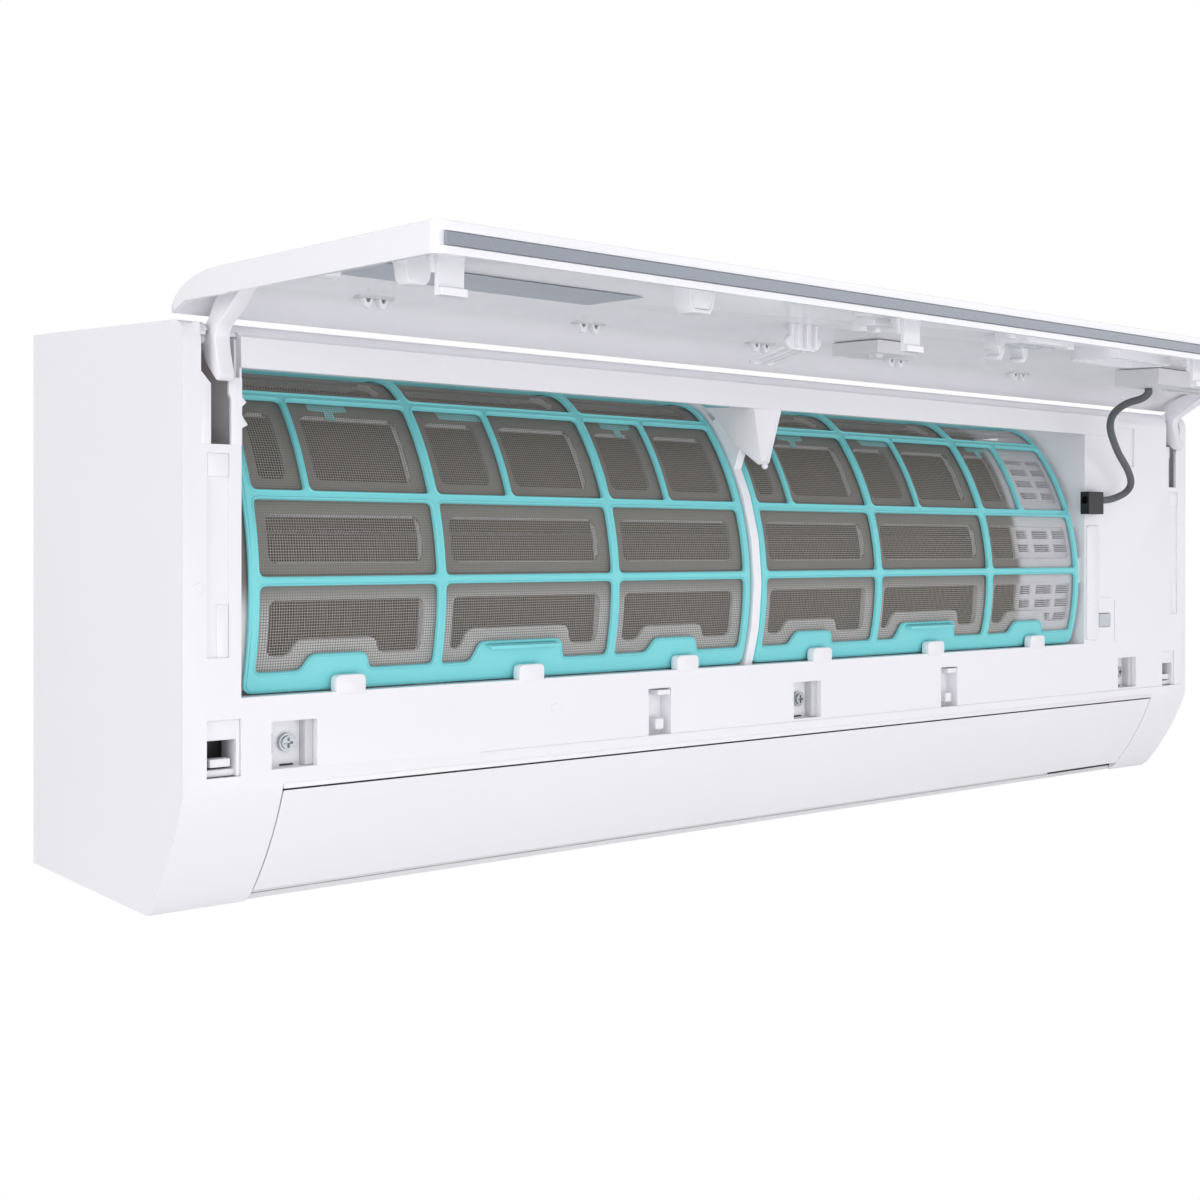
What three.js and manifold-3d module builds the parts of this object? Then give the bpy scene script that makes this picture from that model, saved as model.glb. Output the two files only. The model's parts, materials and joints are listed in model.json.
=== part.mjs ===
// Indoor unit of a wall-hung split air conditioner, shown with its front panel swung up.
// Millimetres. Origin on the wall plane, at the middle of the wall plate's width; the wall is
// Y = 0, the front of the unit looks towards -Y and +Z is up.

import * as THREE from 'three';
import { mergeVertices } from 'three/addons/utils/BufferGeometryUtils.js';
import Module from 'manifold-3d';

const wasm = await Module();
wasm.setup();

// ---- driving dimensions ------------------------------------------------------------------------
const UNIT_WIDTH = 830;
const LEFT_SIDE = -395;
const CASING_TOP = 133.5;        // at the front; the top climbs from there to the wall
const TOP_RISE = 9;
const CASING_BOTTOM = -137.5;
const FRONT = -175;              // front plane of the casing
const CASING_BACK = -3;
const SKIN = 2.5;                // wall of the plastic mouldings
const CORNER = 10;               // radius of the top front edge of the casing
const GAP = 0.3;                 // clearance between touching pieces
const SLIDE_GAP = 0.8;           // clearance beside pieces that move

const STILE = 28.5;              // width of the left stile beside the filters
const CONTROL_BAY = 135;         // width of the right-hand control bay
const RAIL_TOP = -36.5;          // shelf that the filters stand on
const RAIL_BOTTOM = -77.5;
const BAR_BOTTOM = 113;          // cross bar above the filters
const BAR_HEIGHT = 14;
const BAR_PROUD = 1.6;
const BAR_OVER = 40;             // how far the bar runs over the control bay

// the track that the filters and the lattice behind them follow, seen from the side
const TRACK_Y = -25;
const TRACK_Z = 10.5;
const TRACK_R = 149.5;
const BEND_ANGLE = 40;           // degrees up the arc where the track turns to the back
const BEND_R = 40;
const TRACK_STEPS = 6;
const FILTER_BACK = -60;
const FILTER_DEPTH = 2.2;
const NET_DEPTH = 0.6;
const DIVIDER = 6;               // rib between the two filters
const RIB = 4.5;
const THIN_RIB = 2.7;
const SIDE_RAIL = 5;             // upright edges of a filter
const BAND = 10;                 // bottom band of a filter
const RIB_SHARES = [0.321, 0.673];   // ribs of a filter, as shares of its width
const THIN_SHARES = [0.102, 0.4722, 0.8148];
const ROW_HEIGHTS = [105, 56.5, 16];

const LATTICE_DEPTH = 3;
const LATTICE_BAR = 18;
const LATTICE_THIN = 11;
const LATTICE_BACK = -46;

const COIL_DEPTH = 25;
const COIL_INSET = [21.5, 20];   // ends of the fin packs, inside the casing's opening
const COIL_FACE = -156;          // front face of the lower fin pack
const COIL_FOOT = -32;
const COIL_KNEE = 38;            // top of the lower fin pack
const SHEET = 1.2;               // galvanised plates
const PIPE_R = 3.5;
const TUBE_SIDES = 6;

const FAN_Y = -76;
const FAN_Z = -20;
const FAN_R = 48;
const FAN_INSET = [14.5, 10];
const FAN_BLADES = 18;
const FAN_DISCS = 4;
const SHAFT_R = 4;
const MOTOR_R = 44;
const MOTOR_LENGTH = 40;

const BULKHEAD_INSET = [3.7, -5.7];  // outer faces of the two walls beside the fan

const LOUVER_Y = -163;           // hinge line of the louver
const LOUVER_Z = -92;
const LOUVER_DEPTH = 5;
const OUTLET_INSET = [50, 47];   // ends of the outlet, inside the ends of the unit
const LOUVER_PIN_R = 1.8;

const VANE_COUNT = 8;
const VANE_PITCH = 80;
const VANE_Y = -131;             // pivots of the upright vanes
const VANE_THICK = 1.8;
const LINK_Y = -116;
const LINK_Z = -95;

const PANEL_TOP = 131;           // panel, when shut
const PANEL_FOOT = -79;
const PANEL_FACE = -192;
const PANEL_DEPTH = 12;
const HINGE_Y = -165;
const HINGE_Z = 126;
const PIN_R = 2.5;
const ARM_THICK = 8;
const ARM_INSET = 18;            // from the ends of the unit
const OPEN_ANGLE = 88.4;

const SCREW_Z = -59.4;
const SCREW_FLOOR = -163;        // back of the screw cups
const SCREW_TIP = -157;
const LATCH_Z = -59;
const LATCH_WIDTH = 17;
const LATCH_HEIGHT = 26;
const LATCH_FLOOR = -163;        // back of the two middle latch pockets

const PLATE_WIDTH = 660;         // wall plate
const PLATE_THICK = 1.5;
const PLATE_TOP = 105;
const PLATE_BOTTOM = -115;
const BACK_WALL = -12;           // inner face of the chassis back wall
const CHASSIS_TOP = 118;

// ---- values worked out from the dimensions -----------------------------------------------------
const RIGHT_SIDE = LEFT_SIDE + UNIT_WIDTH;
const MIDDLE = (LEFT_SIDE + RIGHT_SIDE) / 2;
const ARM_X = [LEFT_SIDE + ARM_INSET, RIGHT_SIDE - ARM_INSET];
const OPEN_LEFT = LEFT_SIDE + STILE;
const OPEN_RIGHT = RIGHT_SIDE - CONTROL_BAY;
const COIL_LEFT = OPEN_LEFT + COIL_INSET[0];
const COIL_RIGHT = OPEN_RIGHT - COIL_INSET[1];
const FAN_LEFT = OPEN_LEFT + FAN_INSET[0];
const FAN_RIGHT = OPEN_RIGHT - FAN_INSET[1];
const BULKHEAD_LEFT = OPEN_LEFT + BULKHEAD_INSET[0];
const BULKHEAD_RIGHT = OPEN_RIGHT - BULKHEAD_INSET[1];
const OUTLET_LEFT = LEFT_SIDE + OUTLET_INSET[0];
const OUTLET_RIGHT = RIGHT_SIDE - OUTLET_INSET[1];
const SCREW_X = [LEFT_SIDE + 56, MIDDLE - 10, RIGHT_SIDE - 80];
const LATCH_X = [LEFT_SIDE + 20, MIDDLE - 130, MIDDLE + 126, RIGHT_SIDE - 24];
const FILTER_LEFT_X = OPEN_LEFT + 4.5;
const FILTER_WIDTH = (OPEN_RIGHT - 6 - FILTER_LEFT_X - DIVIDER - 2) / 2;
const FILTER_RIGHT_X = FILTER_LEFT_X + FILTER_WIDTH + DIVIDER + 2;
const RIB_PLACES = RIB_SHARES.map((share) => share * FILTER_WIDTH);
const THIN_PLACES = THIN_SHARES.map((share) => share * FILTER_WIDTH);
const FLAT_Z = TRACK_Z + TRACK_R * sin(BEND_ANGLE) + BEND_R * (1 - sin(BEND_ANGLE));
const LOW_ANGLE = -asin((TRACK_Z - RAIL_TOP - GAP) / TRACK_R);
const NET_OFFSET = FILTER_DEPTH + GAP;
const LATTICE_OFFSET = NET_OFFSET + NET_DEPTH + 2 * GAP;
const LATTICE_IN = LATTICE_OFFSET + LATTICE_DEPTH;
const LATTICE_LOW = LOW_ANGLE - 1.5;

function sin(degrees) {
  return Math.sin(degrees * Math.PI / 180);
}

function cos(degrees) {
  return Math.cos(degrees * Math.PI / 180);
}

function asin(value) {
  return Math.asin(value) * 180 / Math.PI;
}

// ---- making and joining solids -----------------------------------------------------------------
function solidOf(geometry) {
  geometry.deleteAttribute('normal');
  geometry.deleteAttribute('uv');
  const merged = mergeVertices(geometry, 1e-4);
  const vertProperties = new Float32Array(merged.attributes.position.array);
  const triVerts = new Uint32Array(merged.index.array);
  return new wasm.Manifold(new wasm.Mesh({ numProp: 3, vertProperties, triVerts }));
}

function join(solids) {
  let whole = solids[0];
  for (const solid of solids.slice(1)) {
    whole = whole.add(solid);
  }
  return whole;
}

function cut(solid, tools) {
  return solid.subtract(join(tools));
}

function block(x0, x1, y0, y1, z0, z1) {
  const geometry = new THREE.BoxGeometry(x1 - x0, y1 - y0, z1 - z0);
  geometry.translate((x0 + x1) / 2, (y0 + y1) / 2, (z0 + z1) / 2);
  return solidOf(geometry);
}

// an outline of [y, z] points, drawn out from x0 to x1
function prism(points, x0, x1) {
  const shape = new THREE.Shape(points.map(([y, z]) => new THREE.Vector2(y, z)));
  const geometry = new THREE.ExtrudeGeometry(shape, { depth: x1 - x0, bevelEnabled: false });
  const turned = new THREE.Matrix4().makeBasis(
    new THREE.Vector3(0, 1, 0),
    new THREE.Vector3(0, 0, 1),
    new THREE.Vector3(1, 0, 0),
  );
  geometry.applyMatrix4(turned);
  geometry.translate(x0, 0, 0);
  return solidOf(geometry);
}

function rodX(y, z, r, x0, x1, sides = 20) {
  const geometry = new THREE.CylinderGeometry(r, r, x1 - x0, sides);
  geometry.rotateZ(Math.PI / 2);
  geometry.translate((x0 + x1) / 2, y, z);
  return solidOf(geometry);
}

function rodY(x, z, r, y0, y1, sides = 16) {
  const geometry = new THREE.CylinderGeometry(r, r, y1 - y0, sides);
  geometry.translate(x, (y0 + y1) / 2, z);
  return solidOf(geometry);
}

function rodZ(x, y, r, z0, z1, sides = 16) {
  const geometry = new THREE.CylinderGeometry(r, r, z1 - z0, sides);
  geometry.rotateX(Math.PI / 2);
  geometry.translate(x, y, (z0 + z1) / 2);
  return solidOf(geometry);
}

// a round bar that follows a smooth curve through [x, y, z] points
function bentBar(points, r, steps, sides = 8) {
  const curve = new THREE.CatmullRomCurve3(points.map((p) => new THREE.Vector3(...p)));
  const ring = new THREE.Shape();
  for (let i = 0; i < sides; i += 1) {
    const angle = 360 * i / sides;
    if (i === 0) {
      ring.moveTo(r, 0);
    } else {
      ring.lineTo(r * cos(angle), r * sin(angle));
    }
  }
  return solidOf(new THREE.ExtrudeGeometry(ring, { steps, extrudePath: curve }));
}

function paint(color, roughness, metalness = 0) {
  return new THREE.MeshStandardMaterial({ color, roughness, metalness });
}

const unit = new THREE.Group();
const panelGroup = new THREE.Group();
panelGroup.position.set(0, HINGE_Y, HINGE_Z);
panelGroup.rotation.x = -OPEN_ANGLE * Math.PI / 180;
unit.add(panelGroup);

function addPiece(name, solid, material, group = unit) {
  const mesh = solid.getMesh();
  const geometry = new THREE.BufferGeometry();
  geometry.setAttribute('position', new THREE.BufferAttribute(mesh.vertProperties, 3));
  geometry.setIndex(new THREE.BufferAttribute(mesh.triVerts, 1));
  const piece = new THREE.Mesh(geometry, material);
  piece.name = name;
  group.add(piece);
}

const WHITE = paint(0xf0f0f5, 0.45);
const TEAL = paint(0x7dd7da, 0.5);
const NET = paint(0x8c9090, 0.8);
const ALUMINIUM = paint(0x9a958a, 0.5, 0.8);
const COPPER = paint(0xb87346, 0.35, 0.9);
const BRASS = paint(0xc2a25a, 0.4, 0.9);
const STEEL = paint(0xb8bcc0, 0.35, 0.9);
const DARK = paint(0x35373a, 0.6);
const GREY = paint(0xafb4bc, 0.5);
const BLACK = paint(0x18191b, 0.6);
const CABLE = paint(0x5f6266, 0.6);
const BOARD = paint(0x2f6b42, 0.6);

// ---- the filter track --------------------------------------------------------------------------
// points on the track, `offset` inside the outer face of the filters, between two angles
function arcPoints(offset, from, to, steps) {
  const r = TRACK_R - offset;
  const points = [];
  for (let i = 0; i <= steps; i += 1) {
    const angle = from + (to - from) * i / steps;
    points.push([TRACK_Y - r * cos(angle), TRACK_Z + r * sin(angle)]);
  }
  return points;
}

function bendPoints(offset, back, steps = 3) {
  const centreY = TRACK_Y - (TRACK_R - BEND_R) * cos(BEND_ANGLE);
  const centreZ = TRACK_Z + (TRACK_R - BEND_R) * sin(BEND_ANGLE);
  const r = BEND_R - offset;
  const points = [];
  for (let i = 1; i <= steps; i += 1) {
    const angle = BEND_ANGLE + (90 - BEND_ANGLE) * i / steps;
    points.push([centreY - r * cos(angle), centreZ + r * sin(angle)]);
  }
  points.push([back, FLAT_Z - offset]);
  return points;
}

function trackLine(offset, from, back) {
  return [...arcPoints(offset, from, BEND_ANGLE, TRACK_STEPS), ...bendPoints(offset, back)];
}

function trackBand(outer, inner, from, back) {
  return [...trackLine(outer, from, back), ...trackLine(inner, from, back).reverse()];
}

function arcBand(outer, inner, from, to, steps = 1) {
  return [...arcPoints(outer, from, to, steps), ...arcPoints(inner, from, to, steps).reverse()];
}

function angleAt(z) {
  return asin((z - TRACK_Z) / TRACK_R);
}

function crossBar(angle, width, outer, inner, x0, x1) {
  const half = width / TRACK_R * 90 / Math.PI;
  return prism(arcBand(outer, inner, angle - half, Math.min(angle + half, BEND_ANGLE)), x0, x1);
}

// ---- chin of the casing, which the shut louver continues ---------------------------------------
const CHIN_TOP = [FRONT, RAIL_BOTTOM];
const CHIN_END = [-142.5, -134];
const CHIN_BULGE = [-163.9, -108.7];
const CHIN_BACK = -138;

function chinPoint(t, inward) {
  const a = (1 - t) * (1 - t);
  const b = 2 * t * (1 - t);
  const c = t * t;
  const y = a * CHIN_TOP[0] + b * CHIN_BULGE[0] + c * CHIN_END[0];
  const z = a * CHIN_TOP[1] + b * CHIN_BULGE[1] + c * CHIN_END[1];
  const dy = (1 - t) * (CHIN_BULGE[0] - CHIN_TOP[0]) + t * (CHIN_END[0] - CHIN_BULGE[0]);
  const dz = (1 - t) * (CHIN_BULGE[1] - CHIN_TOP[1]) + t * (CHIN_END[1] - CHIN_BULGE[1]);
  const length = Math.hypot(dy, dz);
  return [y - inward * dz / length, z + inward * dy / length];
}

function chinLine(from, to, inward, steps = 7) {
  const points = [];
  for (let i = 0; i <= steps; i += 1) {
    points.push(chinPoint(from + (to - from) * i / steps, inward));
  }
  return points;
}

// height of the casing's top, which climbs from its front corner to the wall
function topAt(y) {
  const corner = FRONT + CORNER;
  return CASING_TOP + TOP_RISE * (y - corner) / (CASING_BACK - corner);
}

// side view of the casing, `inset` inside its outer faces, out to `back`
function casingOutline(inset, back) {
  const r = CORNER - inset;
  const points = [[back, topAt(back) - inset]];
  for (let angle = 90; angle >= 0; angle -= 18) {
    points.push([FRONT + CORNER - r * cos(angle), CASING_TOP - CORNER + r * sin(angle)]);
  }
  points.push(...chinLine(0.02, 1, inset));
  points.push([CHIN_BACK, CASING_BOTTOM + inset]);
  points.push([back, CASING_BOTTOM + 5 + inset]);
  return points;
}

// ---- front casing ------------------------------------------------------------------------------
const CUP_WIDTH = 24;
const CUP_HEIGHT = 22;
const CUP_WALL = 2;
const HEAD_R = 4.5;
const SHANK_R = 2;
const SLOT_WIDTH = 19;           // hinge slot in the casing
const SLOT_BOTTOM = 78;
const CLIP_WIDTH = 14;
const CLIP_OVERLAP = 7;
const CLIP_PLACES = [0.164, 0.5, 0.843].map((share) => share * FILTER_WIDTH);
const CHANNEL_OFF = 17;          // middle of the shallow channel in each stile, from the unit's end
const CHANNEL_WIDTH = 11;
const BUTTON_X = OPEN_RIGHT + 23;
const BUTTON_Z = -20;
const BUTTON_WIDTH = 14;
const BUTTON_HEIGHT = 9;

function screwCups() {
  const solids = [];
  for (const x of SCREW_X) {
    const halfW = CUP_WIDTH / 2 + CUP_WALL;
    const halfH = CUP_HEIGHT / 2 + CUP_WALL;
    solids.push(block(x - halfW, x + halfW, FRONT + 1, SCREW_FLOOR, SCREW_Z - halfH, SCREW_Z + halfH));
  }
  return solids;
}

function screwCupCuts() {
  const tools = [];
  for (const x of SCREW_X) {
    const halfW = CUP_WIDTH / 2;
    const halfH = CUP_HEIGHT / 2;
    const floor = SCREW_FLOOR - SKIN;
    tools.push(block(x - halfW, x + halfW, FRONT - 1, floor, SCREW_Z - halfH, SCREW_Z + halfH));
    tools.push(rodY(x, SCREW_Z, SHANK_R + GAP, floor - 1, SCREW_FLOOR + 1, 12));
  }
  return tools;
}

function revealWall(x0, x1) {
  const web = [
    [FRONT + 1, RAIL_TOP - 1],
    [FRONT + 1, CASING_TOP - CORNER],
    [FRONT + CORNER, CASING_TOP - 1],
    [LATTICE_BACK, topAt(LATTICE_BACK) - 1],
    ...trackLine(LATTICE_IN, LATTICE_LOW, LATTICE_BACK).reverse(),
  ];
  return prism(web, x0, x1);
}

// the casing's own grid, whose bars run behind the ribs of the filters
function lattice() {
  const solids = [];
  const strip = trackBand(LATTICE_OFFSET, LATTICE_IN, LATTICE_LOW, LATTICE_BACK);
  const low = angleAt(ROW_HEIGHTS[1]);
  const high = angleAt(ROW_HEIGHTS[0]);
  const thin = arcBand(LATTICE_OFFSET + 0.2, LATTICE_IN - 0.2, low, high, 3);
  for (const left of [FILTER_LEFT_X, FILTER_RIGHT_X]) {
    for (const place of RIB_PLACES) {
      const x = left + place + RIB / 2;
      solids.push(prism(strip, x - LATTICE_BAR / 2, x + LATTICE_BAR / 2));
    }
    for (const place of THIN_PLACES) {
      const x = left + place + THIN_RIB / 2;
      solids.push(prism(thin, x - LATTICE_THIN / 2, x + LATTICE_THIN / 2));
    }
  }
  const x0 = OPEN_LEFT - 1;
  const x1 = OPEN_RIGHT + 1;
  for (const z of ROW_HEIGHTS) {
    solids.push(crossBar(angleAt(z), LATTICE_BAR, LATTICE_OFFSET + 0.1, LATTICE_IN - 0.1, x0, x1));
  }
  const flat = FLAT_Z - LATTICE_OFFSET;
  const back = LATTICE_BACK;
  solids.push(block(x0, x1, -92, -84, flat - LATTICE_DEPTH + 0.1, flat - 0.1));
  solids.push(block(x0, x1, back - 6, back + 2, flat - LATTICE_DEPTH + 0.1, flat - 0.1));
  solids.push(block(x0, x1, back, back + 2, flat - LATTICE_DEPTH + 0.2, topAt(back) - 1));
  return solids;
}

// rib between the two filters, with the deep fin that carries the cross bar
function divider() {
  const x0 = FILTER_LEFT_X + FILTER_WIDTH + 1;
  const x1 = x0 + DIVIDER;
  const rib = prism(trackBand(-1.5, LATTICE_IN, LATTICE_LOW, LATTICE_BACK), x0, x1);
  const finFoot = angleAt(BAR_BOTTOM - 36);
  const fin = [
    [FRONT + 1, BAR_BOTTOM + 2],
    [FRONT + 6, BAR_BOTTOM + 9],
    ...arcPoints(0, finFoot, BEND_ANGLE, 4).reverse(),
  ];
  return [rib, prism(fin, x0, x1)];
}

function filterClips() {
  const solids = [];
  for (const left of [FILTER_LEFT_X, FILTER_RIGHT_X]) {
    for (const place of CLIP_PLACES) {
      const x = left + place;
      const tip = RAIL_TOP + CLIP_OVERLAP;
      solids.push(block(x - CLIP_WIDTH / 2, x + CLIP_WIDTH / 2, FRONT + 0.5, FRONT + 5, RAIL_TOP - 3, tip));
    }
  }
  return solids;
}

function intakeSlots() {
  const tools = [];
  const rows = 8;
  const pitch = 15.5;
  const columns = 4;
  const span = (OPEN_RIGHT - OPEN_LEFT) / columns;
  for (let row = 0; row < rows; row += 1) {
    const y = -150 + row * pitch;
    for (let column = 0; column < columns; column += 1) {
      const x = OPEN_LEFT + column * span;
      const top = CASING_TOP + TOP_RISE + 1;
      tools.push(block(x + 4, x + span - 4, y, y + pitch - 3, CASING_TOP - SKIN - 2, top));
    }
  }
  return tools;
}

function cheek(x0, x1) {
  return block(x0, x1, FRONT + 1, HINGE_Y + 10, SLOT_BOTTOM - 4, CASING_TOP - 1);
}

function hingeCuts(x) {
  const half = SLOT_WIDTH / 2;
  const notch = ARM_THICK / 2 + 1.5;
  return [
    block(x - half, x + half, FRONT - 1, FRONT + SKIN + 1, SLOT_BOTTOM, HINGE_Z + 3),
    block(x - notch, x + notch, FRONT - 1, HINGE_Y + 8, HINGE_Z - 2, CASING_TOP + 1),
    rodX(HINGE_Y, HINGE_Z, PIN_R + GAP, x - half - 4, x + half + 4, 16),
  ];
}

function latchBlock(x, y0, y1, grow) {
  const halfW = LATCH_WIDTH / 2 + grow;
  const halfH = LATCH_HEIGHT / 2 + grow;
  return block(x - halfW, x + halfW, y0, y1, LATCH_Z - halfH, LATCH_Z + halfH);
}

// side walls of the outlet, which the ends of the louver turn in
function outletCheek(x0, x1) {
  return prism([
    ...chinLine(0.02, 1, 1),
    [CHIN_BACK - GAP, CASING_BOTTOM + 1],
    [CHIN_BACK - GAP, -126],
    [-122, -118],
    [-122, RAIL_BOTTOM + 8],
    [FRONT + 1, RAIL_BOTTOM + 8],
  ], x0, x1);
}

function frontCasing() {
  const outer = prism(casingOutline(0, CASING_BACK), LEFT_SIDE, RIGHT_SIDE);
  const inner = prism(casingOutline(SKIN, 2), LEFT_SIDE + SKIN, RIGHT_SIDE - SKIN);
  let shell = outer.subtract(inner);
  const openings = [
    block(OPEN_LEFT, OPEN_RIGHT, FRONT - 1, FRONT + SKIN + 1, RAIL_TOP, BAR_BOTTOM),
    block(OUTLET_LEFT, OUTLET_RIGHT, FRONT - 1, -130, CASING_BOTTOM - 1, RAIL_BOTTOM),
    block(LEFT_SIDE + SKIN, RIGHT_SIDE - SKIN, CHIN_BACK, 3, CASING_BOTTOM - 1, -120),
    ...intakeSlots(),
  ];
  shell = cut(shell, openings);
  const lip = RAIL_BOTTOM + 2.5;
  const half = SLOT_WIDTH / 2;
  const barFace = FRONT - BAR_PROUD;
  const barEnd = OPEN_RIGHT + BAR_OVER;
  let whole = join([
    shell,
    revealWall(OPEN_LEFT - 2, OPEN_LEFT),
    revealWall(OPEN_RIGHT, OPEN_RIGHT + 2),
    outletCheek(OUTLET_LEFT - SKIN, OUTLET_LEFT),
    outletCheek(OUTLET_RIGHT, OUTLET_RIGHT + SKIN),
    block(OUTLET_LEFT - 1, OUTLET_RIGHT + 1, FRONT + 1, -158, lip, lip + SKIN),
    block(OPEN_LEFT - 1, OPEN_RIGHT + 1, FRONT + 1, -158, RAIL_TOP - SKIN, RAIL_TOP),
    block(OPEN_LEFT - 1, barEnd, barFace, FRONT + 1, BAR_BOTTOM, BAR_BOTTOM + BAR_HEIGHT),
    cheek(ARM_X[0] - half - 2, ARM_X[0] - half),
    cheek(ARM_X[1] - half - 2, ARM_X[1] - half),
    cheek(ARM_X[1] + half, ARM_X[1] + half + 2),
    ...lattice(),
    ...divider(),
    ...filterClips(),
    ...screwCups(),
    ...LATCH_X.slice(1, 3).map((x) => latchBlock(x, FRONT + 1, LATCH_FLOOR, CUP_WALL)),
  ]);
  const latchCuts = LATCH_X.map((x, i) => {
    const floor = i === 1 || i === 2 ? LATCH_FLOOR - SKIN : FRONT + SKIN + 1;
    return latchBlock(x, FRONT - 1, floor, 0);
  });
  const channel = CHANNEL_WIDTH / 2;
  const channels = [LEFT_SIDE + CHANNEL_OFF, RIGHT_SIDE - CHANNEL_OFF].map(
    (x) => block(x - channel, x + channel, FRONT - 1, FRONT + 1.5, -18, SLOT_BOTTOM - 4));
  whole = cut(whole, [
    ...latchCuts,
    ...screwCupCuts(),
    ...hingeCuts(ARM_X[0]),
    ...hingeCuts(ARM_X[1]),
    ...channels,
    block(BULKHEAD_LEFT - GAP, OUTLET_LEFT + 0.1, -142, -130, -134.2, -125),
    block(OPEN_RIGHT + 38, OPEN_RIGHT + 64, FRONT - 1, FRONT + 1.5, 92, 120),
    block(BUTTON_X - BUTTON_WIDTH / 2 - GAP, BUTTON_X + BUTTON_WIDTH / 2 + GAP, FRONT - 1, FRONT + 4,
      BUTTON_Z - BUTTON_HEIGHT / 2 - GAP, BUTTON_Z + BUTTON_HEIGHT / 2 + GAP),
    rodX(LOUVER_Y, LOUVER_Z, LOUVER_PIN_R + GAP, OUTLET_LEFT - 4, OUTLET_RIGHT + 4, 12),
  ]);
  return whole;
}

// ---- louver ------------------------------------------------------------------------------------
function louver() {
  const x0 = OUTLET_LEFT + SLIDE_GAP;
  const x1 = OUTLET_RIGHT - SLIDE_GAP;
  const inside = chinLine(0.12, 0.9, LOUVER_DEPTH, 5).reverse();
  const blade = prism([...chinLine(0.05, 0.95, 0), ...inside], x0, x1);
  const lug = LOUVER_PIN_R + 2.2;
  return join([
    blade,
    rodX(LOUVER_Y, LOUVER_Z, lug, x0, x0 + 5, 16),
    rodX(LOUVER_Y, LOUVER_Z, lug, x1 - 5, x1, 16),
    rodX(LOUVER_Y, LOUVER_Z, LOUVER_PIN_R, x0 - 3, x1 + 8, 12),
  ]);
}

function louverMotor() {
  const x0 = OUTLET_RIGHT + SKIN + GAP;
  const body = rodX(LOUVER_Y + 15, LOUVER_Z + 4, 13, x0 + 2, x0 + 20, 24);
  const ears = block(x0, x0 + 2, LOUVER_Y + 3, LOUVER_Y + 27, LOUVER_Z - 12, LOUVER_Z + 20);
  const socket = rodX(LOUVER_Y, LOUVER_Z, LOUVER_PIN_R + 1.1, x0, x0 + 8, 16);
  const neck = block(x0, x0 + 2, LOUVER_Y, LOUVER_Y + 5, LOUVER_Z - 3, LOUVER_Z + 6);
  const bore = rodX(LOUVER_Y, LOUVER_Z, LOUVER_PIN_R + GAP, x0 - 1, x0 + 9, 12);
  return join([body, ears, socket, neck]).subtract(bore);
}

// ---- air filters -------------------------------------------------------------------------------
const BUMP_HALF = 16.5;
const HANDLE_HALF = 27.5;
const BUMP_PLACES = [0.15, 0.8225].map((share) => share * FILTER_WIDTH);
const HANDLE_PLACE = 0.486 * FILTER_WIDTH;

function filterFrame(left) {
  const right = left + FILTER_WIDTH;
  const line = trackBand(0, FILTER_DEPTH, LOW_ANGLE, FILTER_BACK);
  const bandTop = angleAt(RAIL_TOP + GAP + BAND);
  const rows = ROW_HEIGHTS.map(angleAt);
  const bars = [prism(line, left, left + SIDE_RAIL), prism(line, right - SIDE_RAIL, right)];
  for (const place of RIB_PLACES) {
    bars.push(prism(line, left + place, left + place + RIB));
  }
  for (const row of rows) {
    bars.push(crossBar(row, RIB, 0, FILTER_DEPTH, left + 1, right - 1));
  }
  const thin = arcBand(0.4, FILTER_DEPTH, rows[1], rows[0], 3);
  for (const place of THIN_PLACES) {
    bars.push(prism(thin, left + place, left + place + THIN_RIB));
  }
  bars.push(prism(arcBand(0, FILTER_DEPTH, LOW_ANGLE, bandTop), left + 1, right - 1));
  for (const place of BUMP_PLACES) {
    const bump = arcBand(0, FILTER_DEPTH, bandTop - 1, bandTop + 3);
    bars.push(prism(bump, left + place - BUMP_HALF, left + place + BUMP_HALF));
  }
  const handleTop = bandTop + 4;
  const handle = left + HANDLE_PLACE;
  const ledge = HANDLE_HALF - 6;
  const plate = arcBand(0, FILTER_DEPTH, bandTop - 1, handleTop);
  bars.push(prism(plate, handle - HANDLE_HALF, handle + HANDLE_HALF));
  bars.push(prism(arcBand(-5, FILTER_DEPTH, handleTop - 1.2, handleTop), handle - ledge, handle + ledge));
  const flat = FLAT_Z - FILTER_DEPTH;
  bars.push(block(left + 1, right - 1, FILTER_BACK - 6, FILTER_BACK, flat, FLAT_Z));
  bars.push(block(left + 1, right - 1, -100, -100 + RIB, flat, FLAT_Z));
  return join(bars);
}

function filterNet(left) {
  const inner = NET_OFFSET + NET_DEPTH;
  const band = trackBand(NET_OFFSET, inner, LOW_ANGLE + 0.5, FILTER_BACK - 1);
  return prism(band, left + 2, left + FILTER_WIDTH - 2);
}

// ---- perforated guard over the bare tube ends, seen through the right-hand end of the right filter 
const GUARD_RIGHT = OPEN_RIGHT - 2;
const GUARD_LEFT = GUARD_RIGHT - 69;
const GUARD_DEPTH = 1.5;
const GUARD_PITCH = 3.9;         // degrees between rows of holes
const GUARD_ROWS = 14;

function coilGuard() {
  const outer = LATTICE_IN + GAP;
  const inner = outer + GUARD_DEPTH;
  const plate = prism(arcBand(outer, inner, LOW_ANGLE, BEND_ANGLE, 7), GUARD_LEFT, GUARD_RIGHT);
  const holes = [];
  for (let row = 0; row < GUARD_ROWS; row += 1) {
    const low = LOW_ANGLE + 2.2 + row * GUARD_PITCH;
    const hole = arcBand(outer - 1, inner + 1, low, low + 2.4);
    for (const [from, to] of [[5, 17], [23, 42], [47, 65]]) {
      holes.push(prism(hole, GUARD_LEFT + from, GUARD_LEFT + to));
    }
  }
  return cut(plate, holes);
}

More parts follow.
